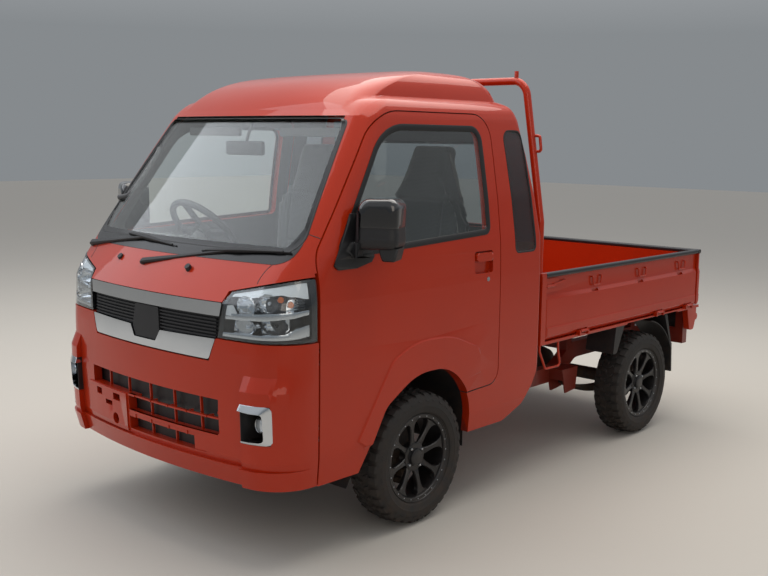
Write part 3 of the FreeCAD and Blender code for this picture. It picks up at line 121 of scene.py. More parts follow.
@dataclass(frozen=True)
class Finish:
    """One finish: its two close colours, its gloss and the grain of its surface.

    Sizes are in millimetres; the patch is the size of the colour's slow variation.
    """

    name: str
    colour: str
    second: str
    roughness: float = 0.5
    spread: float = 0.08
    metallic: float = 0.0
    ior: float = 1.5
    coat: float = 0.0
    coat_roughness: float = 0.03
    sheen: float = 0.0
    grain: Grain = Grain.MOULDED
    grain_mm: float = 1.2
    relief: float = 0.1
    patch_mm: float = 60.0
    dust: float = 0.0

    def material(self) -> Material:
        """The finish as a material, made once and then shared."""
        made = bpy.data.materials.get(self.name)
        if made is not None:
            return made
        made = bpy.data.materials.new(self.name)
        made.use_nodes = True
        tree = made.node_tree
        tree.nodes.clear()
        place = add(tree, "ShaderNodeTexCoord").outputs["Object"]
        shader = add(tree, "ShaderNodeBsdfPrincipled")
        shader.inputs["Metallic"].default_value = self.metallic
        if self.metallic < 0.5:
            shader.inputs["IOR"].default_value = self.ior
        shader.inputs["Coat Weight"].default_value = self.coat
        shader.inputs["Coat Roughness"].default_value = self.coat_roughness
        shader.inputs["Sheen Weight"].default_value = self.sheen
        if self.grain is Grain.CLEAR:
            self.clear(tree, shader)
            return made
        self.colour_and_gloss(tree, shader, place)
        self.relief_of(tree, shader, place)
        add(tree, "ShaderNodeOutputMaterial", {"Surface": shader.outputs[0]})
        return made

    def clear(self, tree: NodeTree, shader: Node) -> None:
        """Finishes see-through glass: clear to lamps, tinted to the eye.

        Args:
            tree: the material's tree.
            shader: its main shader.
        """
        shader.inputs["Base Color"].default_value = linear(self.colour)
        shader.inputs["Roughness"].default_value = self.roughness
        shader.inputs["Transmission Weight"].default_value = 1.0
        through = add(tree, "ShaderNodeBsdfTransparent", {"Color": linear(self.second)})
        path = add(tree, "ShaderNodeLightPath")
        mixed = add(
            tree,
            "ShaderNodeMixShader",
            {0: path.outputs["Is Shadow Ray"], 1: shader.outputs[0], 2: through.outputs[0]},
        )
        add(tree, "ShaderNodeOutputMaterial", {"Surface": mixed.outputs[0]})

    def colour_and_gloss(self, tree: NodeTree, shader: Node, place: NodeSocket) -> None:
        """Gives the shader its varied colour, its dust and its uneven gloss.

        Args:
            tree: the material's tree.
            shader: its main shader.
            place: the object coordinates.
        """
        patch = add(
            tree,
            "ShaderNodeTexNoise",
            {"Vector": place, "Scale": 1 / (self.patch_mm * MM), "Detail": 4.0, "Roughness": 0.6},
        )
        colour = add(
            tree,
            "ShaderNodeMix",
            {0: patch.outputs["Fac"], 6: linear(self.colour), 7: linear(self.second)},
            data_type="RGBA",
        ).outputs[2]
        gloss = add(
            tree,
            "ShaderNodeMapRange",
            {"Value": patch.outputs["Fac"], 3: self.roughness - self.spread, 4: self.roughness + self.spread},
        ).outputs[0]
        if self.dust:
            mask = self.dust_mask(tree, place)
            dusty = linear("#8a6a4e")
            colour = add(tree, "ShaderNodeMix", {0: mask, 6: colour, 7: dusty}, data_type="RGBA").outputs[2]
            gloss = add(tree, "ShaderNodeMath", {0: gloss, 1: mask}, operation="ADD", use_clamp=True).outputs[0]
        tree.links.new(colour, shader.inputs["Base Color"])
        tree.links.new(gloss, shader.inputs["Roughness"])

    def dust_mask(self, tree: NodeTree, place: NodeSocket) -> NodeSocket:
        """Where dry dust lies: low down, in blotches.

        Args:
            tree: the material's tree.
            place: the object coordinates.

        Returns:
            A socket from 0, clean, to the finish's own share of dust.
        """
        height = add(tree, "ShaderNodeSeparateXYZ", {0: place}).outputs["Z"]
        low = add(tree, "ShaderNodeMapRange", {"Value": height, 1: 0.75, 2: 0.05, 3: 0.0, 4: 1.0}).outputs[0]
        blotch = add(tree, "ShaderNodeTexNoise", {"Vector": place, "Scale": 22.0, "Detail": 6.0, "Roughness": 0.7})
        patchy = add(
            tree, "ShaderNodeMapRange", {"Value": blotch.outputs["Fac"], 1: 0.35, 2: 0.75, 3: 0.0, 4: self.dust}
        ).outputs[0]
        return add(tree, "ShaderNodeMath", {0: low, 1: patchy}, operation="MULTIPLY").outputs[0]

    def relief_of(self, tree: NodeTree, shader: Node, place: NodeSocket) -> None:
        """Gives the shader the fine relief of how the surface was made.

        Args:
            tree: the material's tree.
            shader: its main shader.
            place: the object coordinates.
        """
        scale = 1 / (self.grain_mm * MM)
        if self.grain is Grain.WOVEN:
            feeds = {"Vector": place, "Scale": scale / 6.3, "Distortion": 0.4}
            threads = [add(tree, "ShaderNodeTexWave", feeds, bands_direction=d).outputs["Fac"] for d in "XZ"]
            height = add(tree, "ShaderNodeMath", dict(enumerate(threads)), operation="ADD").outputs[0]
        elif self.grain in (Grain.MOULDED, Grain.CAST, Grain.RUBBER):
            cells = add(tree, "ShaderNodeTexVoronoi", {"Vector": place, "Scale": scale}, feature="SMOOTH_F1")
            height = cells.outputs["Distance"]
        else:
            height = add(tree, "ShaderNodeTexNoise", {"Vector": place, "Scale": scale, "Detail": 2.0}).outputs["Fac"]
        bump = add(
            tree,
            "ShaderNodeBump",
            {"Height": height, "Strength": self.relief, "Distance": self.grain_mm * MM * 0.5},
        )
        tree.links.new(bump.outputs["Normal"], shader.inputs["Normal"])


# Baked clear coat over pearl base coat: deep orange with a slight orange peel
PAINT = Finish(
    "paint_pearl_orange", "#b32c0a", "#a52708", roughness=0.36, spread=0.03, metallic=0.15, ior=1.2, coat=0.6,
    coat_roughness=0.02, grain=Grain.SPRAYED, grain_mm=9.0, relief=0.012, patch_mm=400.0, dust=0.05,
)
# The same base coat without much gloss, on the frame and the underside, with road dust; its colours are darker than the
# body's, a painted shade under the body
PAINT_UNDER_SHADED = Finish(
    "paint_underside_shaded_orange", "#7c1e0b", "#681808", roughness=0.42, spread=0.1, metallic=0.1, coat=0.4,
    coat_roughness=0.2, grain=Grain.CAST, grain_mm=7.0, relief=0.06, patch_mm=90.0, dust=0.15,
)
# Moulded polypropylene: dark grey, fine pebbled, dull
PLASTIC = Finish(
    "plastic_moulded_black", "#141416", "#1c1c1f", roughness=0.5, spread=0.08, grain=Grain.MOULDED,
    grain_mm=1.4, relief=0.12, patch_mm=80.0, dust=0.2,
)
# Piano black mirror covers: glossy acrylic lacquer over plastic
GLOSS_BLACK = Finish(
    "plastic_gloss_black", "#0b0b0e", "#101014", roughness=0.16, spread=0.03, coat=1.0, coat_roughness=0.03,
    grain=Grain.SPRAYED, grain_mm=12.0, relief=0.01, patch_mm=200.0,
)
# Powder-coated steel rail: satin black with a fine grain
RAIL = Finish(
    "steel_powder_black", "#17171a", "#212126", roughness=0.34, spread=0.06, metallic=0.2, grain=Grain.POWDER,
    grain_mm=2.0, relief=0.1, patch_mm=120.0, dust=0.1,
)
# Tread rubber: carbon black, matt, dusty in the grooves
RUBBER = Finish(
    "rubber_tyre", "#161515", "#22201f", roughness=0.72, spread=0.1, grain=Grain.RUBBER, grain_mm=2.2,
    relief=0.2, patch_mm=45.0, dust=0.12,
)
# Weatherstrip rubber: smooth extruded EPDM, soft sheen
SEAL = Finish(
    "rubber_seal", "#0d0d0e", "#141415", roughness=0.48, spread=0.06, grain=Grain.RUBBER, grain_mm=1.5,
    relief=0.08, patch_mm=70.0,
)
# Cast aluminium wheel in satin black enamel
RIM = Finish(
    "alloy_satin_black", "#121214", "#1a1a1d", roughness=0.36, spread=0.06, metallic=0.3, coat=0.25,
    coat_roughness=0.25, grain=Grain.CAST, grain_mm=3.0, relief=0.05, patch_mm=60.0, dust=0.05,
)
# Plated plastic trim: mirror bright with faint haze
CHROME = Finish(
    "chrome_plated", "#d6dade", "#c4c9cf", roughness=0.08, spread=0.03, metallic=1.0, grain=Grain.POLISHED,
    grain_mm=30.0, relief=0.01, patch_mm=150.0,
)
# Mild steel under the body in black chassis enamel, dusty
CHASSIS = Finish(
    "steel_chassis_black", "#1d1b1a", "#2b2724", roughness=0.58, spread=0.12, metallic=0.3, grain=Grain.CAST,
    grain_mm=5.0, relief=0.12, patch_mm=50.0, dust=0.5,
)
# Float glass: clear, faintly green, with a crisp reflection on its face
GLASS = Finish(
    "glass_clear", "#f6fbf9", "#eef4f1", roughness=0.0, ior=1.02, coat=1.0, coat_roughness=0.0, grain=Grain.CLEAR
)
# Privacy glass: grey through and through, so what is behind it looks darker
TINTED = Finish(
    "glass_tinted", "#a9b0b4", "#989fa3", roughness=0.0, ior=1.02, coat=1.0, coat_roughness=0.0, grain=Grain.CLEAR
)
# Lamp lens: clear hard-coated polycarbonate
LENS = Finish("lens_clear", "#eef2f4", "#dde2e4", roughness=0.02, ior=1.5, grain=Grain.CLEAR)
# Rear lamp lens: red acrylic
LENS_RED = Finish(
    "lens_red", "#a3120c", "#8e0e0a", roughness=0.15, coat=1.0, grain=Grain.POLISHED, grain_mm=4.0, relief=0.1
)
# Woven polyester seat cloth, dark grey
CLOTH = Finish(
    "cloth_seat_grey", "#2d2e31", "#37383c", roughness=0.9, spread=0.05, sheen=0.4, grain=Grain.WOVEN,
    grain_mm=3.0, relief=0.35, patch_mm=30.0,
)
# Grained interior trim, grey polypropylene
TRIM = Finish(
    "plastic_trim_grey", "#4b4b4d", "#565658", roughness=0.62, spread=0.05, grain=Grain.MOULDED,
    grain_mm=1.6, relief=0.18, patch_mm=80.0,
)
# Tread blocks: the same rubber, scuffed paler on top
RUBBER_TREAD = Finish(
    "rubber_tread_blocks", "#1b1a1a", "#262423", roughness=0.78, spread=0.1, grain=Grain.RUBBER, grain_mm=3.0,
    relief=0.25, patch_mm=30.0, dust=0.12,
)
# Ceramic border fired onto the glass: even black with a soft gloss
FRIT = Finish(
    "glass_fired_border", "#0a0b0c", "#0f1011", roughness=0.22, spread=0.03, grain=Grain.POLISHED, grain_mm=6.0,
    relief=0.01, patch_mm=60.0,
)
# Silvered mirror glass
MIRROR = Finish(
    "glass_silvered", "#c9ced2", "#c2c8cc", roughness=0.04, spread=0.01, metallic=1.0, grain=Grain.POLISHED,
    grain_mm=40.0, relief=0.003, patch_mm=90.0,
)
# Lamp bowl: vacuum-metallised plastic, mirror bright, a little soft
REFLECTOR = Finish(
    "plastic_metallised", "#e3e6ea", "#d5d9de", roughness=0.13, spread=0.03, metallic=1.0, grain=Grain.POLISHED,
    grain_mm=8.0, relief=0.03, patch_mm=40.0,
)
# Lamp housing: dark grey moulded plastic with a satin face
LAMP_DARK = Finish(
    "plastic_lamp_housing", "#26282b", "#2e3034", roughness=0.3, spread=0.05, grain=Grain.POLISHED, grain_mm=5.0,
    relief=0.02, patch_mm=50.0,
)
# Turn signal bulb and lens: amber acrylic
AMBER = Finish(
    "acrylic_amber", "#d9690c", "#c95c08", roughness=0.15, spread=0.03, coat=1.0, grain=Grain.POLISHED, grain_mm=4.0,
    relief=0.08, patch_mm=20.0,
)
# Daytime light guide: frosted white plastic
LIGHT_GUIDE = Finish(
    "plastic_light_guide", "#eef1f4", "#e2e6ea", roughness=0.22, spread=0.04, coat=1.0, grain=Grain.POLISHED,
    grain_mm=4.0, relief=0.04, patch_mm=30.0,
)
# Pale lens: ribbed clear plastic over a white reflector
LENS_PALE = Finish(
    "lens_pale_ribbed", "#d3d8dc", "#c3c9ce", roughness=0.12, spread=0.03, metallic=0.4, coat=1.0,
    grain=Grain.POLISHED, grain_mm=5.0, relief=0.15, patch_mm=20.0,
)
# Zinc-plated steel of nuts and rivets, bright and a little grey
STEEL_BRIGHT = Finish(
    "steel_zinc_plated", "#b4b7bb", "#9fa3a8", roughness=0.28, spread=0.08, metallic=1.0, grain=Grain.CAST,
    grain_mm=1.5, relief=0.05, patch_mm=20.0,
)
# Matt painted studio floor
FLOOR = Finish(
    "floor_pale", "#b9b4ac", "#bcb7af", roughness=0.85, grain=Grain.CAST, grain_mm=30.0, relief=0.02, patch_mm=900.0
)

SLOT_FINISHES = {
    "body_paint": PAINT, "black_rail": RAIL, "tyre_rubber": RUBBER, "rim_black": RIM, "clear_glass": GLASS,
    "tinted_glass": TINTED, "bright_chrome": CHROME, "lamp_lens": LENS, "black_plastic": PLASTIC,
    "seat_fabric": CLOTH, "cab_trim": TRIM, "chassis_steel": CHASSIS, "lamp_red": LENS_RED,
}

# The frame rails take the darker copy of the body paint, a painted shade under the body
NODE_FINISHES = {"frame_rails": PAINT_UNDER_SHADED, "mirror_left": GLOSS_BLACK, "mirror_right": GLOSS_BLACK}


def dress_frame() -> None:
    """Gives every CAD node the finish of its slot, or its own finish."""
    for name, node in frame["nodes"].items():
        finish = NODE_FINISHES.get(name)
        if finish is None:
            used = [s.material.name for s in node.material_slots if s.material]
            key = next((k for k in SLOT_FINISHES if any(k in u for u in used)), None)
            finish = SLOT_FINISHES.get(key, PAINT)
            log.info("%s: %s -> %s", name, used, finish.name)
        if not node.material_slots:
            node.data.materials.append(finish.material())
        for place in node.material_slots:
            place.material = finish.material()


def lofted(mesh: BMesh, rings: Sequence[Sequence[BMVert]], mark: int = 0, caps: Sequence[int] = (0, -1)) -> None:
    """Joins loops of points, each to the next, with faces.

    Args:
        mesh: the mesh that has the points.
        rings: the loops, all of one length.
        mark: the number of the faces' finish.
        caps: which loops are closed by a face of their own.
    """
    for a, b in zip(rings, rings[1:]):
        for i in range(len(a)):
            j = (i + 1) % len(a)
            mesh.faces.new((a[i], a[j], b[j], b[i])).material_index = mark
    for i in caps:
        mesh.faces.new(rings[i]).material_index = mark


def plated(mesh: BMesh, layers: Sequence[Sequence[Sequence[BMVert]]], mark: int = 0) -> None:
    """Makes a closed plate of two grids of points, its front and its back."""
    front, back = layers
    rows, columns = len(front) - 1, len(front[0]) - 1
    made = []
    for i in range(rows):
        for j in range(columns):
            for g in layers:
                made.append(mesh.faces.new((g[i][j], g[i + 1][j], g[i + 1][j + 1], g[i][j + 1])))
    for i in range(rows):
        for j in (0, columns):
            made.append(mesh.faces.new((front[i][j], front[i + 1][j], back[i + 1][j], back[i][j])))
    for j in range(columns):
        for i in (0, rows):
            made.append(mesh.faces.new((front[i][j], front[i][j + 1], back[i][j + 1], back[i][j])))
    for face in made:
        face.material_index = mark


def spots(mesh: BMesh, places: Iterable[Sequence[float]]) -> list[BMVert]:
    """Adds points that are given in millimetres."""
    return [mesh.verts.new(Vector(place) * MM) for place in places]


def turns(count: int) -> list[float]:
    """Equal turns that make a full circle, in radians."""
    return [2 * math.pi * i / count for i in range(count)]


def cut_at(mesh: BMesh, place: Point, facing: Point) -> None:
    """Cuts a mesh's faces along a plane through a place in millimetres, and keeps both sides."""
    geometry = [*mesh.verts, *mesh.edges, *mesh.faces]
    bmesh.ops.bisect_plane(mesh, geom=geometry, plane_co=Vector(place) * MM, plane_no=facing)


def outward(mesh: BMesh) -> BMesh:
    """Turns a mesh's faces outwards."""
    bmesh.ops.recalc_face_normals(mesh, faces=mesh.faces)
    return mesh


def poured(mesh: BMesh, part: BMesh) -> None:
    """Moves a part into a mesh; the part is freed."""
    data = bpy.data.meshes.new("pouring")
    part.to_mesh(data)
    part.free()
    mesh.from_mesh(data)
    bpy.data.meshes.remove(data)


def in_scene(name: str, mesh: BMesh) -> Object:
    """Makes an object of a mesh, which is freed."""
    data = bpy.data.meshes.new(name)
    mesh.to_mesh(data)
    mesh.free()
    obj = bpy.data.objects.new(name, data)
    bpy.context.collection.objects.link(obj)
    return obj


def flattened(mesh: BMesh) -> BMesh:
    """Merges a mesh's coplanar faces."""
    bmesh.ops.dissolve_limit(mesh, angle_limit=math.radians(0.4), verts=mesh.verts, edges=mesh.edges)
    return mesh


def welded(*names: str) -> BMesh:
    """Copies CAD nodes into one mesh with its doubled points merged.

    Args:
        names: the nodes to copy.

    Returns:
        A closed mesh in metres, in the truck's frame.
    """
    mesh = bmesh.new()
    for name in names:
        mesh.from_mesh(frame["nodes"][name].data)
    bmesh.ops.remove_doubles(mesh, verts=mesh.verts, dist=0.02 * MM)
    return mesh


def body_of(node: str) -> str:
    """The body that a CAD node belongs to."""
    bodies = frame["record"]["behaviour"]["bodies"]
    return next(body for body, nodes in bodies.items() if node in nodes)


def finished(obj: Object) -> Object:
    """Turns an object's modifiers into plain mesh.

    Args:
        obj: the object, whose modifiers are used up.

    Returns:
        The same object.
    """
    graph = bpy.context.evaluated_depsgraph_get()
    mesh = bpy.data.meshes.new_from_object(obj.evaluated_get(graph), depsgraph=graph)
    obj.modifiers.clear()
    obj.data = mesh
    return obj


def shown(
    name: str,
    mesh: BMesh,
    finishes: Sequence[Finish],
    body: str,
    replaces: Iterable[str] = (),
    crease: float = CREASE,
    bevel_mm: float = 0.0,
) -> Object:
    """Makes a finished piece of a mesh and hangs it on its body.

    Args:
        name: the piece's name.
        mesh: its shape in metres; it is freed.
        finishes: the finishes that its faces' numbers name.
        body: the body it rides on.
        replaces: CAD nodes that it stands for.
        crease: the angle in degrees above which an edge stays sharp.
        bevel_mm: the width of the rounding on its sharp edges.

    Returns:
        The piece.
    """
    obj = in_scene(name, mesh)
    data = obj.data
    for finish in finishes:
        data.materials.append(finish.material())
    if bevel_mm:
        bevel = obj.modifiers.new("edges", "BEVEL")
        bevel.width = bevel_mm * MM
        bevel.segments = 2
        bevel.limit_method = "ANGLE"
        bevel.angle_limit = math.radians(crease + 7)
        bevel.miter_outer = "MITER_ARC"
        finished(obj)
        data = obj.data
    data.polygons.foreach_set("use_smooth", [True] * len(data.polygons))
    data.set_sharp_from_angle(angle=math.radians(crease))
    weigh = obj.modifiers.new("normals", "WEIGHTED_NORMAL")
    weigh.keep_sharp = True
    finished(obj)
    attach(obj, body)
    if replaces:
        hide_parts(*replaces)
    log.info("%s: %d faces on %s", name, len(obj.data.polygons), body)
    return obj


def revolved(mesh: BMesh, profile: Line, centre: Point, side: float, steps: int, mark: int = 0) -> None:
    """Turns a profile about a wheel's axle.

    Args:
        mesh: the mesh that gets the ring.
        profile: pairs of distance along the axle, outwards, and radius, in millimetres; it is a closed loop.
        centre: the wheel's centre in millimetres.
        side: 1 for a left wheel and -1 for a right one.
        steps: how many steps make the ring.
        mark: the number of the faces' finish.
    """
    rings = []
    middle = Vector(centre)
    for turn in turns(steps):
        c, s = math.cos(turn), math.sin(turn)
        rings.append(spots(mesh, [middle + Vector((side * x, r * c, r * s)) for x, r in profile]))
    count = len(profile)
    for i in range(steps):
        a, b = rings[i], rings[(i + 1) % steps]
        for j in range(count):
            k = (j + 1) % count
            corners = (a[j], a[k], b[k], b[j])
            face = mesh.faces.new(corners if side > 0 else corners[::-1])
            face.material_index += mark


def turned_out(mesh: BMesh) -> BMesh:
    """Merges a mesh's doubles and turns its faces outwards."""
    bmesh.ops.remove_doubles(mesh, verts=mesh.verts, dist=0.005 * MM)
    return outward(mesh)


class Repeat:
    """Repeats one small shape by Geometry Nodes, about an axle or along a line."""

    def __init__(self, name: str, around: bool) -> None:
        """Builds the tree.

        Args:
            name: the tree's name.
            around: whether the copies turn about the X axis, instead of standing in a row.
        """
        tree = bpy.data.node_groups.new(name, "GeometryNodeTree")
        self.tree = tree
        face = tree.interface
        face.new_socket("Geometry", in_out="INPUT", socket_type="NodeSocketGeometry")
        self.keys = {
            label: face.new_socket(label, in_out="INPUT", socket_type=kind).identifier
            for label, kind in (
                ("Count", "NodeSocketInt"),
                ("Start", "NodeSocketVector"),
                ("Step", "NodeSocketVector"),
                ("Turn", "NodeSocketFloat"),
                ("Phase", "NodeSocketFloat"),
                ("Material", "NodeSocketMaterial"),
            )
        }
        face.new_socket("Geometry", in_out="OUTPUT", socket_type="NodeSocketGeometry")
        given = add(tree, "NodeGroupInput").outputs
        index = add(tree, "GeometryNodeInputIndex").outputs[0]
        along = add(tree, "ShaderNodeVectorMath", {0: given["Step"], "Scale": index}, operation="SCALE").outputs[0]
        at = add(tree, "ShaderNodeVectorMath", {0: given["Start"], 1: along}, operation="ADD").outputs[0]
        points = add(tree, "GeometryNodePoints", {"Count": given["Count"], "Position": at}).outputs[0]
        spun = add(tree, "ShaderNodeMath", {0: index, 1: given["Turn"], 2: given["Phase"]}, operation="MULTIPLY_ADD")
        euler = add(tree, "ShaderNodeCombineXYZ", {"X": spun.outputs[0]}).outputs[0]
        turn = add(tree, "FunctionNodeEulerToRotation", {0: euler}).outputs[0]
        feeds = {"Points": points, "Instance": given["Geometry"]}
        if around:
            feeds["Rotation"] = turn
        copies = add(tree, "GeometryNodeInstanceOnPoints", feeds).outputs[0]
        real = add(tree, "GeometryNodeRealizeInstances", {0: copies}).outputs[0]
        dressed = add(tree, "GeometryNodeSetMaterial", {"Geometry": real, "Material": given["Material"]}).outputs[0]
        add(tree, "NodeGroupOutput", {0: dressed})

    def of(
        self,
        name: str,
        shape: BMesh,
        finish: Finish,
        count: int,
        start: Point = (0.0, 0.0, 0.0),
        step: Point = (0.0, 0.0, 0.0),
        phase: float = 0.0,
    ) -> BMesh:
        """Repeats a shape.

        Args:
            name: a name for the work piece.
            shape: the shape, in metres, about the origin; it is freed.
            finish: the finish of the copies.
            count: how many copies.
            start: where the first copy's origin goes, in metres.
            step: from each copy to the next, in metres.
            phase: the first copy's turn, in radians.

        Returns:
            One mesh of all the copies.
        """
        obj = in_scene(name, shape)
        modifier = obj.modifiers.new("repeat", "NODES")
        modifier.node_group = self.tree
        values = {
            "Count": count, "Start": start, "Step": step, "Turn": 2 * math.pi / count, "Phase": phase,
            "Material": finish.material(),
        }
        for label, value in values.items():
            modifier[self.keys[label]] = value
        finished(obj)
        mesh = bmesh.new()
        mesh.from_mesh(obj.data)
        bpy.data.objects.remove(obj)
        return mesh


def joined(*meshes: BMesh) -> BMesh:
    """Joins meshes into the first; the faces of each later one are numbered one further on."""
    whole = meshes[0]
    for mark, mesh in enumerate(meshes[1:], 1):
        for face in mesh.faces:
            face.material_index += mark
        poured(whole, mesh)
    return whole


@dataclass
class Wheel:
    """One wheel: a mud-terrain tyre on an eight-spoked cast rim. Sizes in millimetres."""

    corner: str
    side: float
    axle_y: float
    radius: float = 281.6
    lugs: int = 34
    rivets: int = 24
    spokes: int = 8
    ring_radius: float = 178.0

    @property
    def centre(self) -> Point:
        """The wheel's centre in millimetres."""
        return (self.side * WHEEL_X, self.axle_y, AXLE_Z)

    def at(self, x: float, along: float, r: float) -> Vector:
        """A point near the top of the wheel, about its centre: outwards, along the rim and up, in metres."""
        return Vector((self.side * x, along, r)) * MM

    def block(self, mesh: BMesh, low: Sequence[Point], high: Sequence[Point]) -> None:
        """Adds a block between two loops of corners, in the measures of `at`."""
        lofted(mesh, [[mesh.verts.new(self.at(*p)) for p in loop] for loop in (low, high)])

    def carcass(self) -> BMesh:
        """The tyre without its tread: rounded sidewalls with raised rings."""
        outer = [
            (61, 187), (66, 190), (69, 194), (72, 197), (75, 197), (77, 200), (79, 208), (81, 218), (82, 221),
            (83, 222), (83, 227), (82, 229), (82, 238), (80.5, 248), (77, 259), (70, 267), (60, 271), (40, 273),
            (0, 274),
        ]
        inner = [(-x, y) for x, y in reversed(outer[:-1])]
        mesh = bmesh.new()
        revolved(mesh, [*outer, *inner, (-58, 184), (58, 184)], self.centre, self.side, 120)
        return mesh

    def tread(self) -> BMesh:
        """One pitch of the tread: two shoulder lugs that run down the sidewalls and two slanted centre lugs."""
        mesh = bmesh.new()
        r = self.radius
        pitch = 2 * math.pi * r / self.lugs
        for hand, shift in ((1, 0.0), (-1, 0.5)):
            s = shift * pitch
            wide, slim = pitch * 0.33, pitch * 0.24
            lugs = (
                # The shoulder's lug on the tread
                ([(36, -wide, 268), (70, -wide * 0.8, 262), (70, wide * 0.8, 262), (36, wide, 268)],
                 [(38, 2 - wide, r - 1), (68, -wide, r - 7), (68, wide * 0.9, r - 7), (38, wide - 3, r - 1)]),
                # The same lug down the sidewall
                ([(66, -wide * 0.8, 262), (75, -slim, 244), (75, slim, 244), (66, wide * 0.8, 262)],
                 [(68, -wide, r - 7), (83, -slim * 0.8, 246), (83, slim * 0.8, 246), (68, wide * 0.9, r - 7)]),
                # The slanted lug of the centre
                ([(2, -4, 270), (31, 9, 268), (31, 9 + wide, 268), (2, wide * 1.1 - 4, 270)],
                 [(4, -2, r), (29, 11, r - 0.6), (29, 7 + wide, r - 0.6), (4, wide * 1.1 - 7, r)]),
            )
            for low, high in lugs:
                self.block(mesh, *([(hand * x, s + along, h) for x, along, h in loop] for loop in (low, high)))
        return outward(mesh)

    def barrel(self) -> BMesh:
        """The rim's barrel, its outer ring and its hub with the centre cap."""
        mesh = bmesh.new()
        profile = [
            (61, 189.5), (67.5, 189.5), (69, 187.5), (68.5, 185.5), (66, 184), (65, 172), (63.5, 170), (58, 167.5),
            (40, 165), (20, 163), (-20, 160), (-52, 162), (-64, 170), (-69, 184), (-69, 189.5), (-61, 189.5),
            (-57, 176), (57, 176),
        ]
        revolved(mesh, profile, self.centre, self.side, 96)
        hub = [
            (10, 34.8), (8, 60), (34, 63), (42, 60), (44, 55), (43.5, 38), (47, 36), (55, 34), (57.5, 30), (58.5, 20),
            (59, 0.6), (55, 0.6), (54.6, 34.8),
        ]
        revolved(mesh, hub, self.centre, self.side, 48)
        return turned_out(mesh)

    def spoke(self) -> BMesh:
        """One spoke, slim in its middle and flared at both ends, with bevelled flanks."""
        mesh = bmesh.new()
        stations = [
            (50, 20, 38, 12), (62, 15.5, 43, 14), (80, 12, 46.5, 18), (105, 10.5, 49.5, 22), (128, 11.5, 52, 24),
            (146, 16, 54.5, 26), (158, 25, 56.5, 28), (166.5, 38, 57.5, 30),
        ]
        rings = []
        for r, wide, front, depth in stations:
            drop = 4.0
            section = [
                (front - depth, -wide * 0.86), (front - drop, -wide), (front, -wide + drop * 0.8),
                (front - 1.6, 0.0), (front, wide - drop * 0.8), (front - drop, wide), (front - depth, wide * 0.86),
            ]
            rise = [math.sqrt(max(r * r - a * a, 0)) if r > 150 else r for _, a in section]
            rings.append([mesh.verts.new(self.at(x, a, h)) for (x, a), h in zip(section, rise)])
        lofted(mesh, rings)
        return outward(mesh)

    def fastener(self, x: float, r: float, width: float, height: float, sides: int) -> BMesh:
        """A nut or a rivet head at a radius: a low prism with a domed top."""
        mesh = bmesh.new()
        rings = []
        for share, up in ((1.0, 0.0), (1.0, 0.6), (0.72, 0.9), (0.3, 1.0)):
            wide, top = width * share, x + height * up
            places = [self.at(top, wide * math.cos(a), r + wide * math.sin(a)) for a in turns(sides)]
            rings.append([mesh.verts.new(place) for place in places])
        lofted(mesh, rings)
        return outward(mesh)

    def build(self, ring: Repeat) -> None:
        """Makes the tyre and the rim of this corner.

        Args:
            ring: the tree that repeats a shape about an axle.
        """
        body = "wheel_" + self.corner
        centre = tuple(v * MM for v in self.centre)
        tread = ring.of("tread", self.tread(), RUBBER_TREAD, self.lugs, centre, phase=0.05)
        shown(
            "tyre_tread_" + self.corner, joined(self.carcass(), tread), [RUBBER, RUBBER_TREAD], body,
            ["tyre_" + self.corner], 35,
        )
        spokes = ring.of("spokes", self.spoke(), RIM, self.spokes, centre, phase=0.2)
        head = self.fastener(65.2, self.ring_radius, 3.1, 2.6, 10)
        rivets = ring.of("rivets", head, STEEL_BRIGHT, self.rivets, centre)
        nuts = ring.of("nuts", self.fastener(42.5, 48.0, 7.5, 11.0, 6), STEEL_BRIGHT, 4, centre, phase=0.6)
        rim = joined(self.barrel(), spokes)
        for face in rim.faces:
            face.material_index = 0
        for part in (rivets, nuts):
            for face in part.faces:
                face.material_index = 1
            poured(rim, part)
        shown("cast_rim_" + self.corner, rim, [RIM, STEEL_BRIGHT], body, ["rim_" + self.corner], 32)


CAB_MIDDLE_Z = 1150.0


def lining(face: BMFace, node: str) -> bool:
    """Whether a face of a cab panel looks into the cab, where the panel wears its grey trim."""
    centre = face.calc_center_median()
    inward = Vector((-centre.x, 0.0, CAB_MIDDLE_Z * MM - centre.z)).normalized()
    if node == "back_panel" and face.normal.y < -0.5:
        return True
    return face.normal.dot(inward) > 0.45


@dataclass
class Panels:
    """The pressed and moulded pieces, with smooth surfaces and softened edges.

    A node without a crease angle of its own takes that of `shown`. Sizes in millimetres, angles in degrees.
    """

    cab: tuple[str, ...] = (
        "side_frame_left", "side_frame_right", "roof_panel", "back_panel", "door_panel_left",
        "door_panel_right",
    )
    bevelled: tuple[str, ...] = (
        "side_gate_left", "side_gate_right", "tailgate", "grille", "frame_rails",
        "mud_guards", "dashboard",
    )
    plain: tuple[str, ...] = (
        "bed", "guard_frame", "gate_rail_left", "gate_rail_right", "tailgate_rail", "door_hinges", "rear_axle",
        "leaf_springs", "engine", "front_suspension", "knuckle_left", "knuckle_right", "steering_wheel", "cab_floor",
        "windshield", "cab_glass", "door_glass_left", "door_glass_right", "front_panel",
    )
    creases: dict[str, float] = field(
        default_factory=lambda: {"bed": 12.0, "door_panel_left": 17.0, "door_panel_right": 17.0, "grille": 20.0}
    )
    bevel: float = 1.4

    def build(self) -> None:
        """Makes a smooth piece for each panel."""
        slots = {part["node"]: part["material_slot"] for part in frame["record"]["subparts"]}
        for node in (*self.cab, *self.bevelled, *self.plain):
            mesh = welded(node)
            finish = NODE_FINISHES.get(node) or SLOT_FINISHES[slots[node]]
            finishes = [finish]
            if node in self.cab:
                finishes.append(TRIM)
                for face in mesh.faces:
                    face.material_index = int(lining(face, node))
            width = 0.0
            if node in self.bevelled:
                flattened(mesh)
                width = self.bevel
            crease = self.creases.get(node, CREASE)
            shown(node + "_skin", mesh, finishes, body_of(node), [node], crease, width)


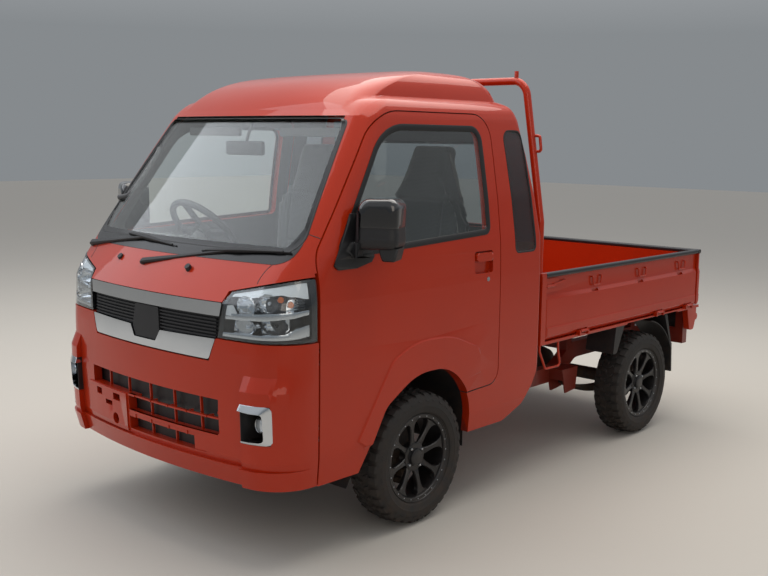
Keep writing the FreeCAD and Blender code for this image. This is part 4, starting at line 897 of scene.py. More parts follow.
@dataclass
class Rim:
    """The outline of a pane's outer face, as evenly spaced points with what is outward and inward there."""

    points: list[Vector]
    normals: list[Vector]
    inward: list[Vector]

    @classmethod
    def of(cls, node: str, toward: Vector, keep: Callable[[Vector], bool] = lambda c: True, gap: float = 12.0) -> "Rim":
        """Finds the outline of one pane.

        Args:
            node: the glass's CAD node.
            toward: roughly where the pane faces.
            keep: tells the pane's faces by their centres, in metres.
            gap: the spacing of the points in millimetres.

        Returns:
            The outline.
        """
        mesh = welded(node)
        mesh.normal_update()
        faces = [f for f in mesh.faces if f.normal.dot(toward) > 0.5 and keep(f.calc_center_median())]
        inside = set(faces)
        nearby: dict[BMVert, list[BMVert]] = {}
        normal_at: dict[BMVert, Vector] = {}
        for face in faces:
            for edge in face.edges:
                if sum(f in inside for f in edge.link_faces) == 1:
                    a, b = edge.verts
                    nearby.setdefault(a, []).append(b)
                    nearby.setdefault(b, []).append(a)
                    normal_at[a] = normal_at[b] = face.normal.copy()
        left = dict.fromkeys(nearby)
        best: list[BMVert] = []
        while left:
            chain = [left.popitem()[0]]
            while True:
                onward = [v for v in nearby[chain[-1]] if v in left]
                if not onward:
                    break
                chain.append(onward[0])
                del left[onward[0]]
            if cls.length(chain) > cls.length(best):
                best = chain
        corners = [v.co.copy() for v in best]
        normals = [normal_at[v] for v in best]
        mesh.free()
        return cls.spaced(corners, normals, gap)

    @staticmethod
    def length(chain: list[BMVert]) -> float:
        """How long a chain of points is."""
        return sum((a.co - b.co).length for a, b in zip(chain, chain[1:]))

    @classmethod
    def spaced(cls, corners: list[Vector], normals: list[Vector], gap: float) -> "Rim":
        """Spaces a closed outline evenly and finds its inward directions."""
        lengths = [(corners[(i + 1) % len(corners)] - c).length for i, c in enumerate(corners)]
        count = max(16, int(sum(lengths) / (gap * MM)))
        points, facing = [], []
        step = sum(lengths) / count
        leg, done = 0, 0.0
        for i in range(count):
            want = i * step
            while done + lengths[leg] < want and leg < len(corners) - 1:
                done += lengths[leg]
                leg += 1
            share = (want - done) / max(lengths[leg], 1e-9)
            after = (leg + 1) % len(corners)
            points.append(corners[leg].lerp(corners[after], share))
            facing.append(normals[leg].lerp(normals[after], share).normalized())
        for _ in range(2):
            facing = [(facing[i - 1] + n * 2 + facing[(i + 1) % count]).normalized() for i, n in enumerate(facing)]
        middle = sum(points, Vector()) / count
        inward = []
        for i, p in enumerate(points):
            run = (points[(i + 1) % count] - points[i - 1]).normalized()
            side = run.cross(facing[i]).normalized()
            inward.append(side if side.dot(middle - p) > 0 else -side)
        for _ in range(2):
            inward = [(inward[i - 1] + n * 2 + inward[(i + 1) % count]).normalized() for i, n in enumerate(inward)]
        return cls(points, facing, inward)

    def moulding(self, profile: Callable[[Vector], Line]) -> BMesh:
        """Sweeps a section round the outline.

        Args:
            profile: the section at a point, as pairs of millimetres inward and outward from the pane.

        Returns:
            A closed strip.
        """
        mesh = bmesh.new()
        rings = []
        for p, n, side in zip(self.points, self.normals, self.inward):
            rings.append([mesh.verts.new(p + side * (a * MM) + n * (b * MM)) for a, b in profile(p)])
        lofted(mesh, [*rings, rings[0]], caps=())
        return outward(mesh)


@dataclass
class Glazing:
    """Rubber seals and printed black borders of the panes. Sizes in millimetres."""

    border: float = 20.0
    foot_border: float = 26.0
    foot_height: float = 70.0

    def seal(self, name: str, rim: Rim, body: str, section: Line) -> None:
        """Sweeps one rubber seal round a pane."""
        shown(name, rim.moulding(lambda _: section), [SEAL], body, crease=50)

    def build(self) -> None:
        """Makes the seals and borders of every pane."""
        front = Rim.of("windshield", Vector((0, -0.8, 0.6)))
        low = min(p.z for p in front.points)

        def printed(p: Vector) -> list[tuple[float, float]]:
            """The printed border, wider along the screen's foot."""
            near = max(0.0, 1 - (p.z - low) / (self.foot_height * MM))
            wide = self.border + (self.foot_border - self.border) * min(1.0, near * 2.0)
            return [(1, 0.3), (wide, 0.3), (wide, 0.7), (1, 0.7)]

        shown("windshield_border", front.moulding(printed), [FRIT], "chassis")
        self.seal("windshield_seal", front, "chassis", [(-4.5, -1), (-4.5, 2.6), (-2, 3.8), (3, 3.2), (5, 0.4)])
        rear = Rim.of("cab_glass", Vector((0, 1, 0)), lambda c: abs(c.x) < 0.6)
        self.seal("rear_window_seal", rear, "chassis", [(-9, 0), (-9, 4.5), (-3, 6), (8, 5), (12, 0.4)])
        for side, hand in SIDES:
            out = Vector((side, 0, 0))
            quarter = Rim.of("cab_glass", out, lambda c, s=side: c.x * s > 0.6)
            self.seal(f"quarter_seal_{hand}", quarter, "chassis", [(-3, 0), (-3, 3.4), (0, 4.2), (4, 3), (6, 0.4)])
            door = Rim.of("door_glass_" + hand, out)
            section = [(-9, 1), (-9, 4.4), (-4, 5.6), (6, 5), (15, 2.6), (17, 0.3)]
            self.seal(f"door_window_seal_{hand}", door, "door_" + hand, section)


@dataclass
class Mirrors:
    """Door mirrors: gloss cover over a grained lower shell, with a glass behind. Sizes in millimetres."""

    at: tuple[float, float] = (758.0, -1290.0)
    turn: float = 25.0
    corners: tuple[tuple[float, float], ...] = ((0.0, 1197.0), (168.0, 1199.0), (170.0, 1391.0), (12.0, 1388.0))
    radii: tuple[float, ...] = (24.0, 30.0, 38.0, 46.0)
    rings: tuple[tuple[float, float], ...] = (
        (34.0, 0.5), (20.0, 2.5), (10.0, 7.0), (4.0, 14.0), (1.0, 24.0), (0.0, 36.0), (0.0, 116.0), (2.0, 124.0),
        (7.0, 128.0), (11.0, 127.0), (12.0, 119.0),
    )
    split: float = 1269.0
    band: float = 1283.0
    ridge: float = 1240.0
    arm_reach: float = 22.0
    arm_top: float = 1335.0
    groove: float = 2.2
    swell: float = 1.2

    def placed(self, side: int, u: float, d: float, z: float) -> Vector:
        """A point of the head from its width, depth and height."""
        c, s = math.cos(math.radians(self.turn)), math.sin(math.radians(self.turn))
        return Vector((side * (self.at[0] + u * c - d * s), self.at[1] + u * s + d * c, z)) * MM

    def head(self, side: int) -> BMesh:
        """The head: a rounded housing, closed by its glass.

        Args:
            side: 1 for the left and -1 for the right.

        Returns:
            The head, with its faces numbered cover, shell and glass.
        """
        mesh = bmesh.new()
        loops = []
        for inset, depth in self.rings:
            signs = ((1, 1), (-1, 1), (-1, -1), (1, -1))
            corners = [(x + inset * i, z + inset * j) for (x, z), (i, j) in zip(self.corners, signs)]
            outline = rounded(corners, [r - inset * 0.45 for r in self.radii], 9)
            loops.append([mesh.verts.new(self.placed(side, x, depth, z)) for x, z in outline])
        lofted(mesh, loops, caps=(0,))
        centre = mesh.faces.new(loops[-1]).calc_center_median()
        for height in (self.ridge, 1246.0, 1264.0, self.split, self.band, self.band + 5):
            cut_at(mesh, (0, 0, height), (0, 0, 1))
        middle = self.placed(side, 84, 60, 1290)
        for v in mesh.verts:
            if (v.co - centre).length < 2 * MM:
                continue
            z = v.co.z / MM
            away = Vector((v.co.x - middle.x, v.co.y - middle.y, 0)).normalized()
            if self.split - 0.5 < z < self.band + 0.5:
                v.co -= away * self.groove * MM
            elif z < self.ridge + 0.5:
                v.co += away * self.swell * MM
        mesh.normal_update()
        inward = (self.placed(side, 0, 1, 0) - self.placed(side, 0, 0, 0)).normalized()
        for face in mesh.faces:
            spot = face.calc_center_median()
            flat = abs(face.normal.dot(inward)) > 0.99 and (spot - centre).dot(inward) > -2 * MM
            face.material_index = 2 if flat else 0 if spot.z > self.band * MM else 1
        return mesh

    def lobe(self, side: int) -> BMesh:
        """The lower housing of the small wide-angle mirror."""
        mesh = bmesh.new()
        loops = []
        for depth, inset in ((16, 7), (18, 3), (24, 0), (100, 0), (106, 3), (108, 7)):
            foot = 1156 + inset
            corners = [(90 + inset, 1206), (106 + inset, foot), (158 - inset, foot), (170 - inset, 1206)]
            outline = rounded(corners, [0, 12, 12, 0], 5)
            loops.append([mesh.verts.new(self.placed(side, x, depth, z)) for x, z in outline])
        lofted(mesh, loops)
        return mesh

    def build(self) -> None:
        """Makes both mirrors."""
        for side, hand in SIDES:
            node = "mirror_" + hand
            mesh = welded(node)
            origin = self.placed(side, 0, 0, 0)
            along = (self.placed(side, 1, 0, 0) - origin).normalized()
            gone = []
            for face in mesh.faces:
                spot = face.calc_center_median() - origin
                face.material_index = 0
                if spot.dot(along) > self.arm_reach * MM or face.calc_center_median().z > self.arm_top * MM:
                    gone.append(face)
            bmesh.ops.delete(mesh, geom=gone, context="FACES")
            edges = [e for e in mesh.edges if e.is_boundary]
            bmesh.ops.holes_fill(mesh, edges=edges, sides=0)
            both = joined(mesh, self.head(side), self.lobe(side))
            shown(
                "door_mirror_" + hand, turned_out(both), [PLASTIC, GLOSS_BLACK, PLASTIC, MIRROR], "door_" + hand,
                [node], 38,
            )


@dataclass
class Wipers:
    """Two wiper arms with their framed blades, parked on the screen's foot. Sizes in millimetres."""

    pivots: tuple[Point, ...] = ((-612.0, -1532.5, 1132.0), (-107.0, -1611.5, 1100.0))
    blades: tuple[tuple[Point, Point], ...] = (
        ((-340.0, -1529.5, 1194.0), (44.0, -1559.5, 1170.0)),
        ((200.0, -1559.5, 1166.0), (640.0, -1485.5, 1190.0)),
    )
    out: Point = (0.0, -0.75, 0.66)
    section: tuple[tuple[float, float], ...] = ((-1, -1), (1, -1), (1, 0.4), (0.6, 1), (-0.6, 1), (-1, 0.4))

    def bar(self, mesh: BMesh, stations: Sequence[tuple[Vector, float, float]]) -> None:
        """Adds a bar through stations, each with its half width and half height."""
        rings = []
        for i, (p, wide, high) in enumerate(stations):
            before, after = stations[max(i - 1, 0)][0], stations[min(i + 1, len(stations) - 1)][0]
            run = (after - before).normalized()
            side = run.cross(Vector(self.out)).normalized()
            up = side.cross(run)
            rings.append(spots(mesh, [p + side * a * wide + up * b * high for a, b in self.section]))
        lofted(mesh, rings)

    def build(self) -> None:
        """Makes both wipers."""
        mesh = bmesh.new()
        out = Vector(self.out)
        for pivot, (start, end) in zip(self.pivots, self.blades):
            base, a, b = Vector(pivot), Vector(start), Vector(end)
            middle = a.lerp(b, 0.42)
            lift = out * 8
            knee = base.lerp(middle, 0.30) + lift * 1.4
            self.bar(mesh, [(base - out * 12, 15, 15), (base + out * 6, 15, 15), (base + out * 16, 10, 10)])
            self.bar(
                mesh,
                [(base + out * 6 - (middle - base).normalized() * 16, 11, 8), (base + out * 10, 13, 10), (knee, 10, 8),
                 (base.lerp(middle, 0.36) + lift * 1.5, 8, 6), (middle + lift * 2.0, 5, 5)],
            )
            ends = [a.lerp(b, share) + lift * 0.3 for share in (0.01, 0.99)]
            self.bar(mesh, [(ends[0], 3, 6), (middle + lift * 0.3, 4, 9), (ends[1], 3, 6)])
            self.bar(
                mesh,
                [(a.lerp(b, 0.06) + lift * 1.1, 4, 4), (a.lerp(b, 0.26) + lift * 1.6, 8, 6),
                 (middle + lift * 2.0, 11, 8), (a.lerp(b, 0.60) + lift * 1.7, 8, 6),
                 (a.lerp(b, 0.92) + lift * 1.1, 4, 4)],
            )
        shown("wiper_set", turned_out(mesh), [PLASTIC], "chassis", ["wipers"], 40)


@dataclass
class HeadLamp:
    """One wrap-round headlamp: clear lens, chrome strips and faceted reflectors. Sizes in millimetres."""

    side: float
    pivot: tuple[float, float] = (560.0, -1440.0)
    inner_angle: float = -31.5
    outer_angle: float = 87.0
    slant: float = 4.0
    low: float = 870.0
    top_inner: float = 1041.0
    top_slope: float = 0.2245
    # Along the lens and up it, the radius and how much wider than high
    bowls: tuple[tuple[float, ...], ...] = (
        (0.20, 0.66, 40.0, 1.5), (0.46, 0.67, 38.0, 1.15), (0.20, 0.27, 34.0, 1.9), (0.55, 0.28, 33.0, 1.5),
    )
    bulbs: tuple[tuple[float, float], ...] = ((0.60, 0.72), (0.71, 0.62))
    bulb_radius: float = 11.0
    louvres: int = 5
    # Each chrome or lit strip's stations, as `strip` takes them, and its two depths
    chrome_strips: tuple = (
        (
            ((0.02, 0.43, 0.55), (0.2, 0.40, 0.52), (0.45, 0.385, 0.51), (0.7, 0.40, 0.50), (0.905, 0.44, 0.515)),
            (7, 42),
        ),
        (
            ((0.02, 0.05, 0.14), (0.4, 0.045, 0.135), (0.68, 0.06, 0.15), (0.76, 0.07, 0.24), (0.905, 0.10, 0.28)),
            (6, 28),
        ),
    )
    lit_strips: tuple = (
        (
            ((0.03, 0.89, 0.95), (0.25, 0.81, 0.945), (0.6, 0.80, 0.945), (0.72, 0.75, 0.95), (0.905, 0.69, 0.955)),
            (6, 24),
        ),
        (((0.008, 0.45, 0.74), (0.03, 0.45, 0.72), (0.06, 0.47, 0.60), (0.08, 0.48, 0.53)), (7, 30)),
    )
    surface: BVHTree | None = None

    def __post_init__(self) -> None:
        """Takes the lamp's outer surface from its CAD node."""
        mesh = welded("headlamps")
        self.surface = BVHTree.FromBMesh(mesh)
        mesh.free()

    def at(self, u: float, v: float, depth: float) -> Vector:
        """A point of the lamp.

        Args:
            u: 0 at the grille's end and 1 at the door's end.
            v: 0 at the foot and 1 at the top.
            depth: how far it lies behind the lens's face.

        Returns:
            The point in metres.
        """
        start = self.inner_angle + self.slant * v * (1 - u)
        angle = math.radians(start + (self.outer_angle - start) * u)
        away = Vector((self.side * math.sin(angle), -math.cos(angle), 0))
        pivot = Vector((self.side * self.pivot[0], self.pivot[1], 0))
        z = 900.0
        spot = pivot
        for _ in range(3):
            hit = self.surface.ray_cast((pivot + away * 600 + Vector((0, 0, z))) * MM, -away)[0]
            if hit is None:
                z -= 12
                continue
            spot = hit / MM
            top = self.top_inner + (abs(spot.x) - 451) * self.top_slope - 1.5
            z = self.low + (top - self.low) * v
        return (Vector((spot.x, spot.y, z)) - away * depth) * MM

    def patch(
        self, mesh: BMesh, u: tuple[float, float], v: tuple[float, float], depth: tuple[float, float],
        steps: tuple[int, int] = (30, 6), mark: int = 0,
    ) -> None:
        """Adds a slab that follows the lens, between two ends, two heights and two depths."""
        nu, nv = steps
        us = [u[0] + (u[1] - u[0]) * i / nu for i in range(nu + 1)]
        vs = [v[0] + (v[1] - v[0]) * j / nv for j in range(nv + 1)]
        plated(mesh, [[[mesh.verts.new(self.at(a, b, d)) for b in vs] for a in us] for d in depth], mark)

    def strip(
        self, mesh: BMesh, stations: Sequence[tuple[float, float, float]], depth: tuple[float, float],
        mark: int,
    ) -> None:
        """Adds a slab along the lens whose foot and top change on the way.

        Args:
            mesh: takes the slab.
            stations: the place along the lens, the foot and the top there, each as a share.
            depth: how far its two faces lie behind the lens's face.
            mark: the number of its finish.
        """
        rings = []
        for (u0, f0, t0), (u1, f1, t1) in zip(stations, stations[1:]):
            count = max(2, int((u1 - u0) * 34))
            for i in range(count + (u1 == stations[-1][0])):
                k = i / count
                ease = k * k * (3 - 2 * k)
                u, foot, top = u0 + (u1 - u0) * k, f0 + (f1 - f0) * ease, t0 + (t1 - t0) * ease
                near, far = depth
                section = [(foot, near), ((foot + top) / 2, near - 1.5), (top, near), (top, far), (foot, far)]
                rings.append([mesh.verts.new(self.at(u, v, d)) for v, d in section])
        lofted(mesh, rings, mark)

    def bowl(self, mesh: BMesh, u: float, v: float, radius: float, mark: int, bulb: int, wide: float) -> None:
        """Adds a fluted reflector bowl, open to the front, with its bulb's shield."""
        rim = self.at(u, v, 16) / MM
        deep = self.at(u, v, 50) / MM
        axis = (rim - deep).normalized()
        right = axis.cross(Vector((0, 0, 1))).normalized()
        up = right.cross(axis)
        rings = []
        for share, back in ((1.0, 0.0), (0.97, 8.0), (0.85, 17.0), (0.66, 25.0), (0.42, 31.0), (0.18, 34.0)):
            ring = []
            for i, a in enumerate(turns(24)):
                r = radius * share * (1.0 if i % 2 else 0.94)
                ring.append(rim - axis * back + right * (r * wide * math.cos(a)) + up * r * math.sin(a))
            rings.append(spots(mesh, ring))
        lofted(mesh, rings, mark, (-1,))
        dome = []
        for share, back in ((0.2, 33.0), (0.22, 20.0), (0.2, 14.0), (0.14, 10.0), (0.05, 8.5)):
            base, r = rim - axis * back, radius * share
            dome.append(spots(mesh, [base + (right * math.cos(a) + up * math.sin(a)) * r for a in turns(12)]))
        lofted(mesh, dome, bulb, (-1,))

    def build(self) -> None:
        """Makes the lens and what is behind it."""
        hand = "left" if self.side > 0 else "right"
        inside = bmesh.new()
        dark, chrome, amber, glow = range(4)
        self.patch(inside, (0.005, 0.995), (0.01, 0.99), (54, 57), mark=dark)
        for u, v in (((0.004, 0.03), (0.01, 0.99)), ((0.93, 0.997), (0.01, 0.99))):
            self.patch(inside, u, v, (3.4, 55), (3, 6), dark)
        for v in ((0.004, 0.05), (0.955, 0.996)):
            self.patch(inside, (0.01, 0.99), v, (3.4, 55), (30, 1), dark)
        for mark, strips in ((glow, self.lit_strips), (chrome, self.chrome_strips)):
            for stations, depth in strips:
                self.strip(inside, stations, depth, mark)
        self.patch(inside, (0.03, 0.70), (0.13, 0.42), (46, 50), (24, 3), chrome)
        self.patch(inside, (0.03, 0.80), (0.50, 0.86), (46, 50), (24, 3), chrome)
        for i, (u, v, radius, wide) in enumerate(self.bowls):
            last = i == len(self.bowls) - 1
            self.bowl(inside, u, v, radius, chrome, dark if last else chrome, wide)
        for u, v in self.bulbs:
            tube(inside, [self.at(u, v, depth) / MM for depth in (34, 12)], self.bulb_radius, 20, amber)
        for k in range(self.louvres):
            v = 0.535 + 0.045 * k
            self.patch(inside, (0.785, 0.865), (v, v + 0.022), (9, 30), (4, 1), dark)
        shown(
            "headlamp_inside_" + hand, outward(inside), [LAMP_DARK, REFLECTOR, AMBER, LIGHT_GUIDE], "chassis",
            crease=30,
        )
        lens = bmesh.new()
        self.patch(lens, (0.0, 1.0), (0.0, 1.0), (0.0, 2.6), (44, 10))
        replaced = ["headlamps"] if self.side > 0 else []
        shown("headlamp_lens_" + hand, outward(lens), [LENS], "chassis", replaced, 35)


@dataclass
class SmallLamps:
    """Fog lamps in their recesses and the rear lamp blocks. Sizes in millimetres."""

    fog: Point = (600.0, -1602.0, 556.0)
    fog_radius: float = 29.0
    inwards: float = 40.0
    deeper: float = 6.0
    lens_depth: float = 26.0
    red_from: float = 560.0
    amber_from: float = 495.0

    def disc(self, mesh: BMesh, centre: Vector, rings: Line, mark: int) -> None:
        """Adds a turned cap about the Y axis from rings of radius and height towards the front."""
        loops = []
        for r, proud in rings:
            loops.append(spots(mesh, [centre + Vector((r * math.cos(a), -proud, r * math.sin(a))) for a in turns(32)]))
        lofted(mesh, loops, mark, (-1,))

    def build(self) -> None:
        """Makes the fog lamps' faces and the rear lamps' lenses."""
        front = bmesh.new()
        x, y, z = self.fog
        r = self.fog_radius
        for side in (1, -1):
            centre = Vector((side * x, y, z))
            self.disc(front, centre, [(r + 1, -1), (r + 2, 5), (r - 1, 8), (r - 4, 6)], 0)
            self.disc(front, centre, [(r - 4, 2), (r - 5, 8), (r * 0.7, 11), (r * 0.4, 12.5), (r * 0.1, 13)], 1)
        shown("fog_lamp_faces", outward(front), [REFLECTOR, LENS_PALE], "chassis", crease=35)
        fog = welded("fog_lamps")
        for v in fog.verts:
            v.co.x -= math.copysign(self.inwards * MM, v.co.x)
            v.co.y += self.deeper * MM
        shown("fog_lamp_housings", fog, [PLASTIC], "chassis", ["fog_lamps"])
        rear = welded("tail_lamps")
        for at in (self.red_from, self.amber_from):
            for side in (1, -1):
                cut_at(rear, (side * at, 0, 0), (1, 0, 0))
        back = max(v.co.y for v in rear.verts)
        for face in rear.faces:
            c = face.calc_center_median()
            far = abs(c.x) / MM
            colour = 1 if far > self.red_from else 2 if far > self.amber_from else 3
            face.material_index = colour if c.y > back - self.lens_depth * MM else 0
        shown(
            "rear_lamp_blocks", rear, [PLASTIC, LENS_RED, AMBER, LENS_PALE], "chassis", ["tail_lamps"], 40,
        )


def rounded(corners: Line, radii: Sequence[float], steps: int = 7) -> list[tuple[float, float]]:
    """Rounds the corners of a closed flat outline.

    Args:
        corners: the outline's corners in millimetres.
        radii: one radius for each corner, 0 for a sharp one.
        steps: how many chords make a corner.

    Returns:
        The points of the rounded outline.
    """
    points = []
    for i, (corner, radius) in enumerate(zip(corners, radii)):
        c = Vector(corner)
        if not radius:
            points.append(tuple(c))
            continue
        a = (Vector(corners[i - 1]) - c).normalized()
        b = (Vector(corners[(i + 1) % len(corners)]) - c).normalized()
        half = a.angle(b) / 2
        start, end = c + a * (radius / math.tan(half)), c + b * (radius / math.tan(half))
        middle = c + (a + b).normalized() * (radius / math.sin(half))
        first = start - middle
        whole = first.angle_signed(end - middle)
        for k in range(steps + 1):
            turn = -whole * k / steps
            x = first.x * math.cos(turn) - first.y * math.sin(turn)
            y = first.x * math.sin(turn) + first.y * math.cos(turn)
            points.append((middle.x + x, middle.y + y))
    return points


def tube(mesh: BMesh, route: Sequence[Vector], radius: float, sides: int = 12, mark: int = 0) -> None:
    """Adds a round bar along a route of points in millimetres, with closed ends."""
    rings = []
    normal = Vector((0.3, 0.2, 1)).normalized()
    for i, p in enumerate(route):
        run = (route[min(i + 1, len(route) - 1)] - route[max(i - 1, 0)]).normalized()
        normal = (normal - run * normal.dot(run)).normalized()
        side = run.cross(normal)
        places = [p + normal * radius * math.cos(a) + side * radius * math.sin(a) for a in turns(sides)]
        rings.append(spots(mesh, places))
    lofted(mesh, rings, mark)


def smooth_route(points: Sequence[Point], per_span: int = 8) -> list[Vector]:
    """Runs a smooth line through points in millimetres."""
    p = [Vector(v) for v in points]
    route = []
    for i in range(len(p) - 1):
        a, b, c, d = p[max(i - 1, 0)], p[i], p[i + 1], p[min(i + 2, len(p) - 1)]
        for k in range(per_span):
            t = k / per_span
            route.append(
                0.5 * ((2 * b) + (c - a) * t + (2 * a - 5 * b + 4 * c - d) * t * t + (3 * b - a - 3 * c + d) * t**3)
            )
    return [*route, p[-1]]


def slab(mesh: BMesh, low: Point, high: Point, round_mm: float = 2.0, mark: int = 0) -> None:
    """Adds a plate or block between two corners in millimetres, with its edges rounded off."""
    part = bmesh.new()
    bmesh.ops.create_cube(part, size=1.0)
    for v in part.verts:
        v.co = Vector([(low[i] if v.co[i] < 0 else high[i]) for i in range(3)]) * MM
    bmesh.ops.bevel(
        part, geom=[*part.verts, *part.edges], offset=round_mm * MM, segments=2, affect="EDGES", profile=0.5,
        clamp_overlap=True,
    )
    for face in part.faces:
        face.material_index = mark
    poured(mesh, part)


@dataclass
class Seats:
    """Two cloth seats with tall backs, each a padded cushion and a padded back. Sizes in millimetres."""

    inner_x: float = 142.0
    outer_x: float = 608.0
    foot_z: float = 704.0
    rear_y: float = -294.0
    swell: float = 7.0
    channel: float = 4.0

    def outline_block(self, side_view: Line, width_at: Callable[[float], tuple[float, float]]) -> BMesh:
        """A closed block from its side view, as wide as told at each height."""
        mesh = bmesh.new()
        lofted(mesh, [spots(mesh, [(width_at(z)[end], y, z) for y, z in side_view]) for end in (0, 1)])
        return outward(mesh)

    def padded(self, name: str, mesh: BMesh) -> bpy.types.Mesh:
        """Swells a block like a stuffed cover, by a short cloth simulation.

        Args:
            name: the work piece's name.
            mesh: the block; it is freed.

        Returns:
            The swollen skin.
        """
        obj = in_scene(name, mesh)
        remesh = obj.modifiers.new("skin", "REMESH")
        remesh.mode = "VOXEL"
        remesh.voxel_size = 6 * MM
        finished(obj)
        soften = obj.modifiers.new("soft", "SMOOTH")
        soften.factor = 0.5
        soften.iterations = 14
        finished(obj)
        before = [v.co.copy() for v in obj.data.vertices]
        cloth = obj.modifiers.new("cloth", "CLOTH")
        cloth.settings.quality = 4
        cloth.settings.use_pressure = True
        cloth.settings.uniform_pressure_force = 4.0
        cloth.settings.effector_weights.gravity = 0.0
        cloth.settings.tension_stiffness = 20.0
        cloth.collision_settings.use_collision = False
        scene = bpy.context.scene
        for step in range(1, 21):
            scene.frame_set(step)
        finished(obj)
        for v, old in zip(obj.data.vertices, before):
            move = v.co - old
            if move.length > self.swell * MM:
                v.co = old + move * (self.swell * MM / move.length)
        scene.frame_set(1)
        return obj.data

    def sew(self, mesh: BMesh, runs: Sequence[tuple[int, float, float, float, int, float]]) -> None:
        """Presses sewn channels into a skin.

        Args:
            mesh: the skin.
            runs: for each channel the axis it lies across and its place there, the range along a second
                axis with that axis's number, and the half width; all in millimetres.
        """
        mesh.normal_update()
        for v in mesh.verts:
            for axis, at, start, end, other, half in runs:
                off = abs(v.co[axis] / MM - at) / half
                if off < 1 and start < v.co[other] / MM < end:
                    v.co -= v.normal * ((1 - off * off) ** 2 * self.channel * MM)

    def build(self) -> None:
        """Makes both seats: the left one is simulated and the right one is its mirror image."""
        rear, low = self.rear_y, self.foot_z
        x0, x1 = self.inner_x, self.outer_x
        inset = self.swell
        cushion = self.outline_block(
            rounded(
                [
                    (rear - 664 + inset, low), (rear - 674 + inset, 845), (rear - 636, 878 - inset),
                    (rear - 178, 862 - inset), (rear - 150, low),
                ],
                [20, 45, 40, 30, 10],
            ),
            lambda z: (x0 + inset, x1 - inset),
        )

        def back_width(z: float) -> tuple[float, float]:
            """The back narrows above its shoulders to the headrest."""
            share = min(max((z - 1290) / 150, 0.0), 1.0)
            share = share * share * (3 - 2 * share)
            taper = max(0.0, (z - 1560) / 35) * 18
            return (156 + 112 * share + taper, 594 - 112 * share - taper)

        side_view = [
            (rear - 218, 830), (rear - 142, 1440), (rear - 100, 1586), (rear - 42, 1583), (rear - 42, 1450),
            (rear - 104, 830),
        ]
        dense = []
        for (ya, za), (yb, zb) in zip(side_view, side_view[1:] + side_view[:1]):
            for k in range(12):
                dense.append((ya + (yb - ya) * k / 12, za + (zb - za) * k / 12))
        back = self.outline_block(dense, back_width)
        middle = (x0 + x1) / 2
        channels = {
            "cushion": [
                (0, middle - 128, rear - 640, rear - 190, 1, 9.0), (0, middle + 128, rear - 640, rear - 190, 1, 9.0),
                (1, rear - 400, middle - 128, middle + 128, 0, 9.0), (2, 815.0, rear - 900, rear, 1, 7.0),
            ],
            "back": [
                (0, middle - 122, 860.0, 1330.0, 2, 9.0), (0, middle + 122, 860.0, 1330.0, 2, 9.0),
                (2, 1338.0, middle - 190, middle + 190, 0, 9.0), (2, 1090.0, middle - 122, middle + 122, 0, 9.0),
            ],
        }
        for part, block in (("cushion", cushion), ("back", back)):
            skin = self.padded("seat_work_" + part, block)
            for side, hand in SIDES:
                mesh = bmesh.new()
                mesh.from_mesh(skin)
                self.sew(mesh, channels[part])
                if side < 0:
                    bmesh.ops.scale(mesh, vec=(-1, 1, 1), verts=mesh.verts)
                replaced = ["seat_" + hand] if part == "cushion" else []
                piece = shown(f"seat_{part}_{hand}", outward(mesh), [CLOTH], "chassis", replaced, 180)
            bpy.data.objects.remove(bpy.data.objects["seat_work_" + part])


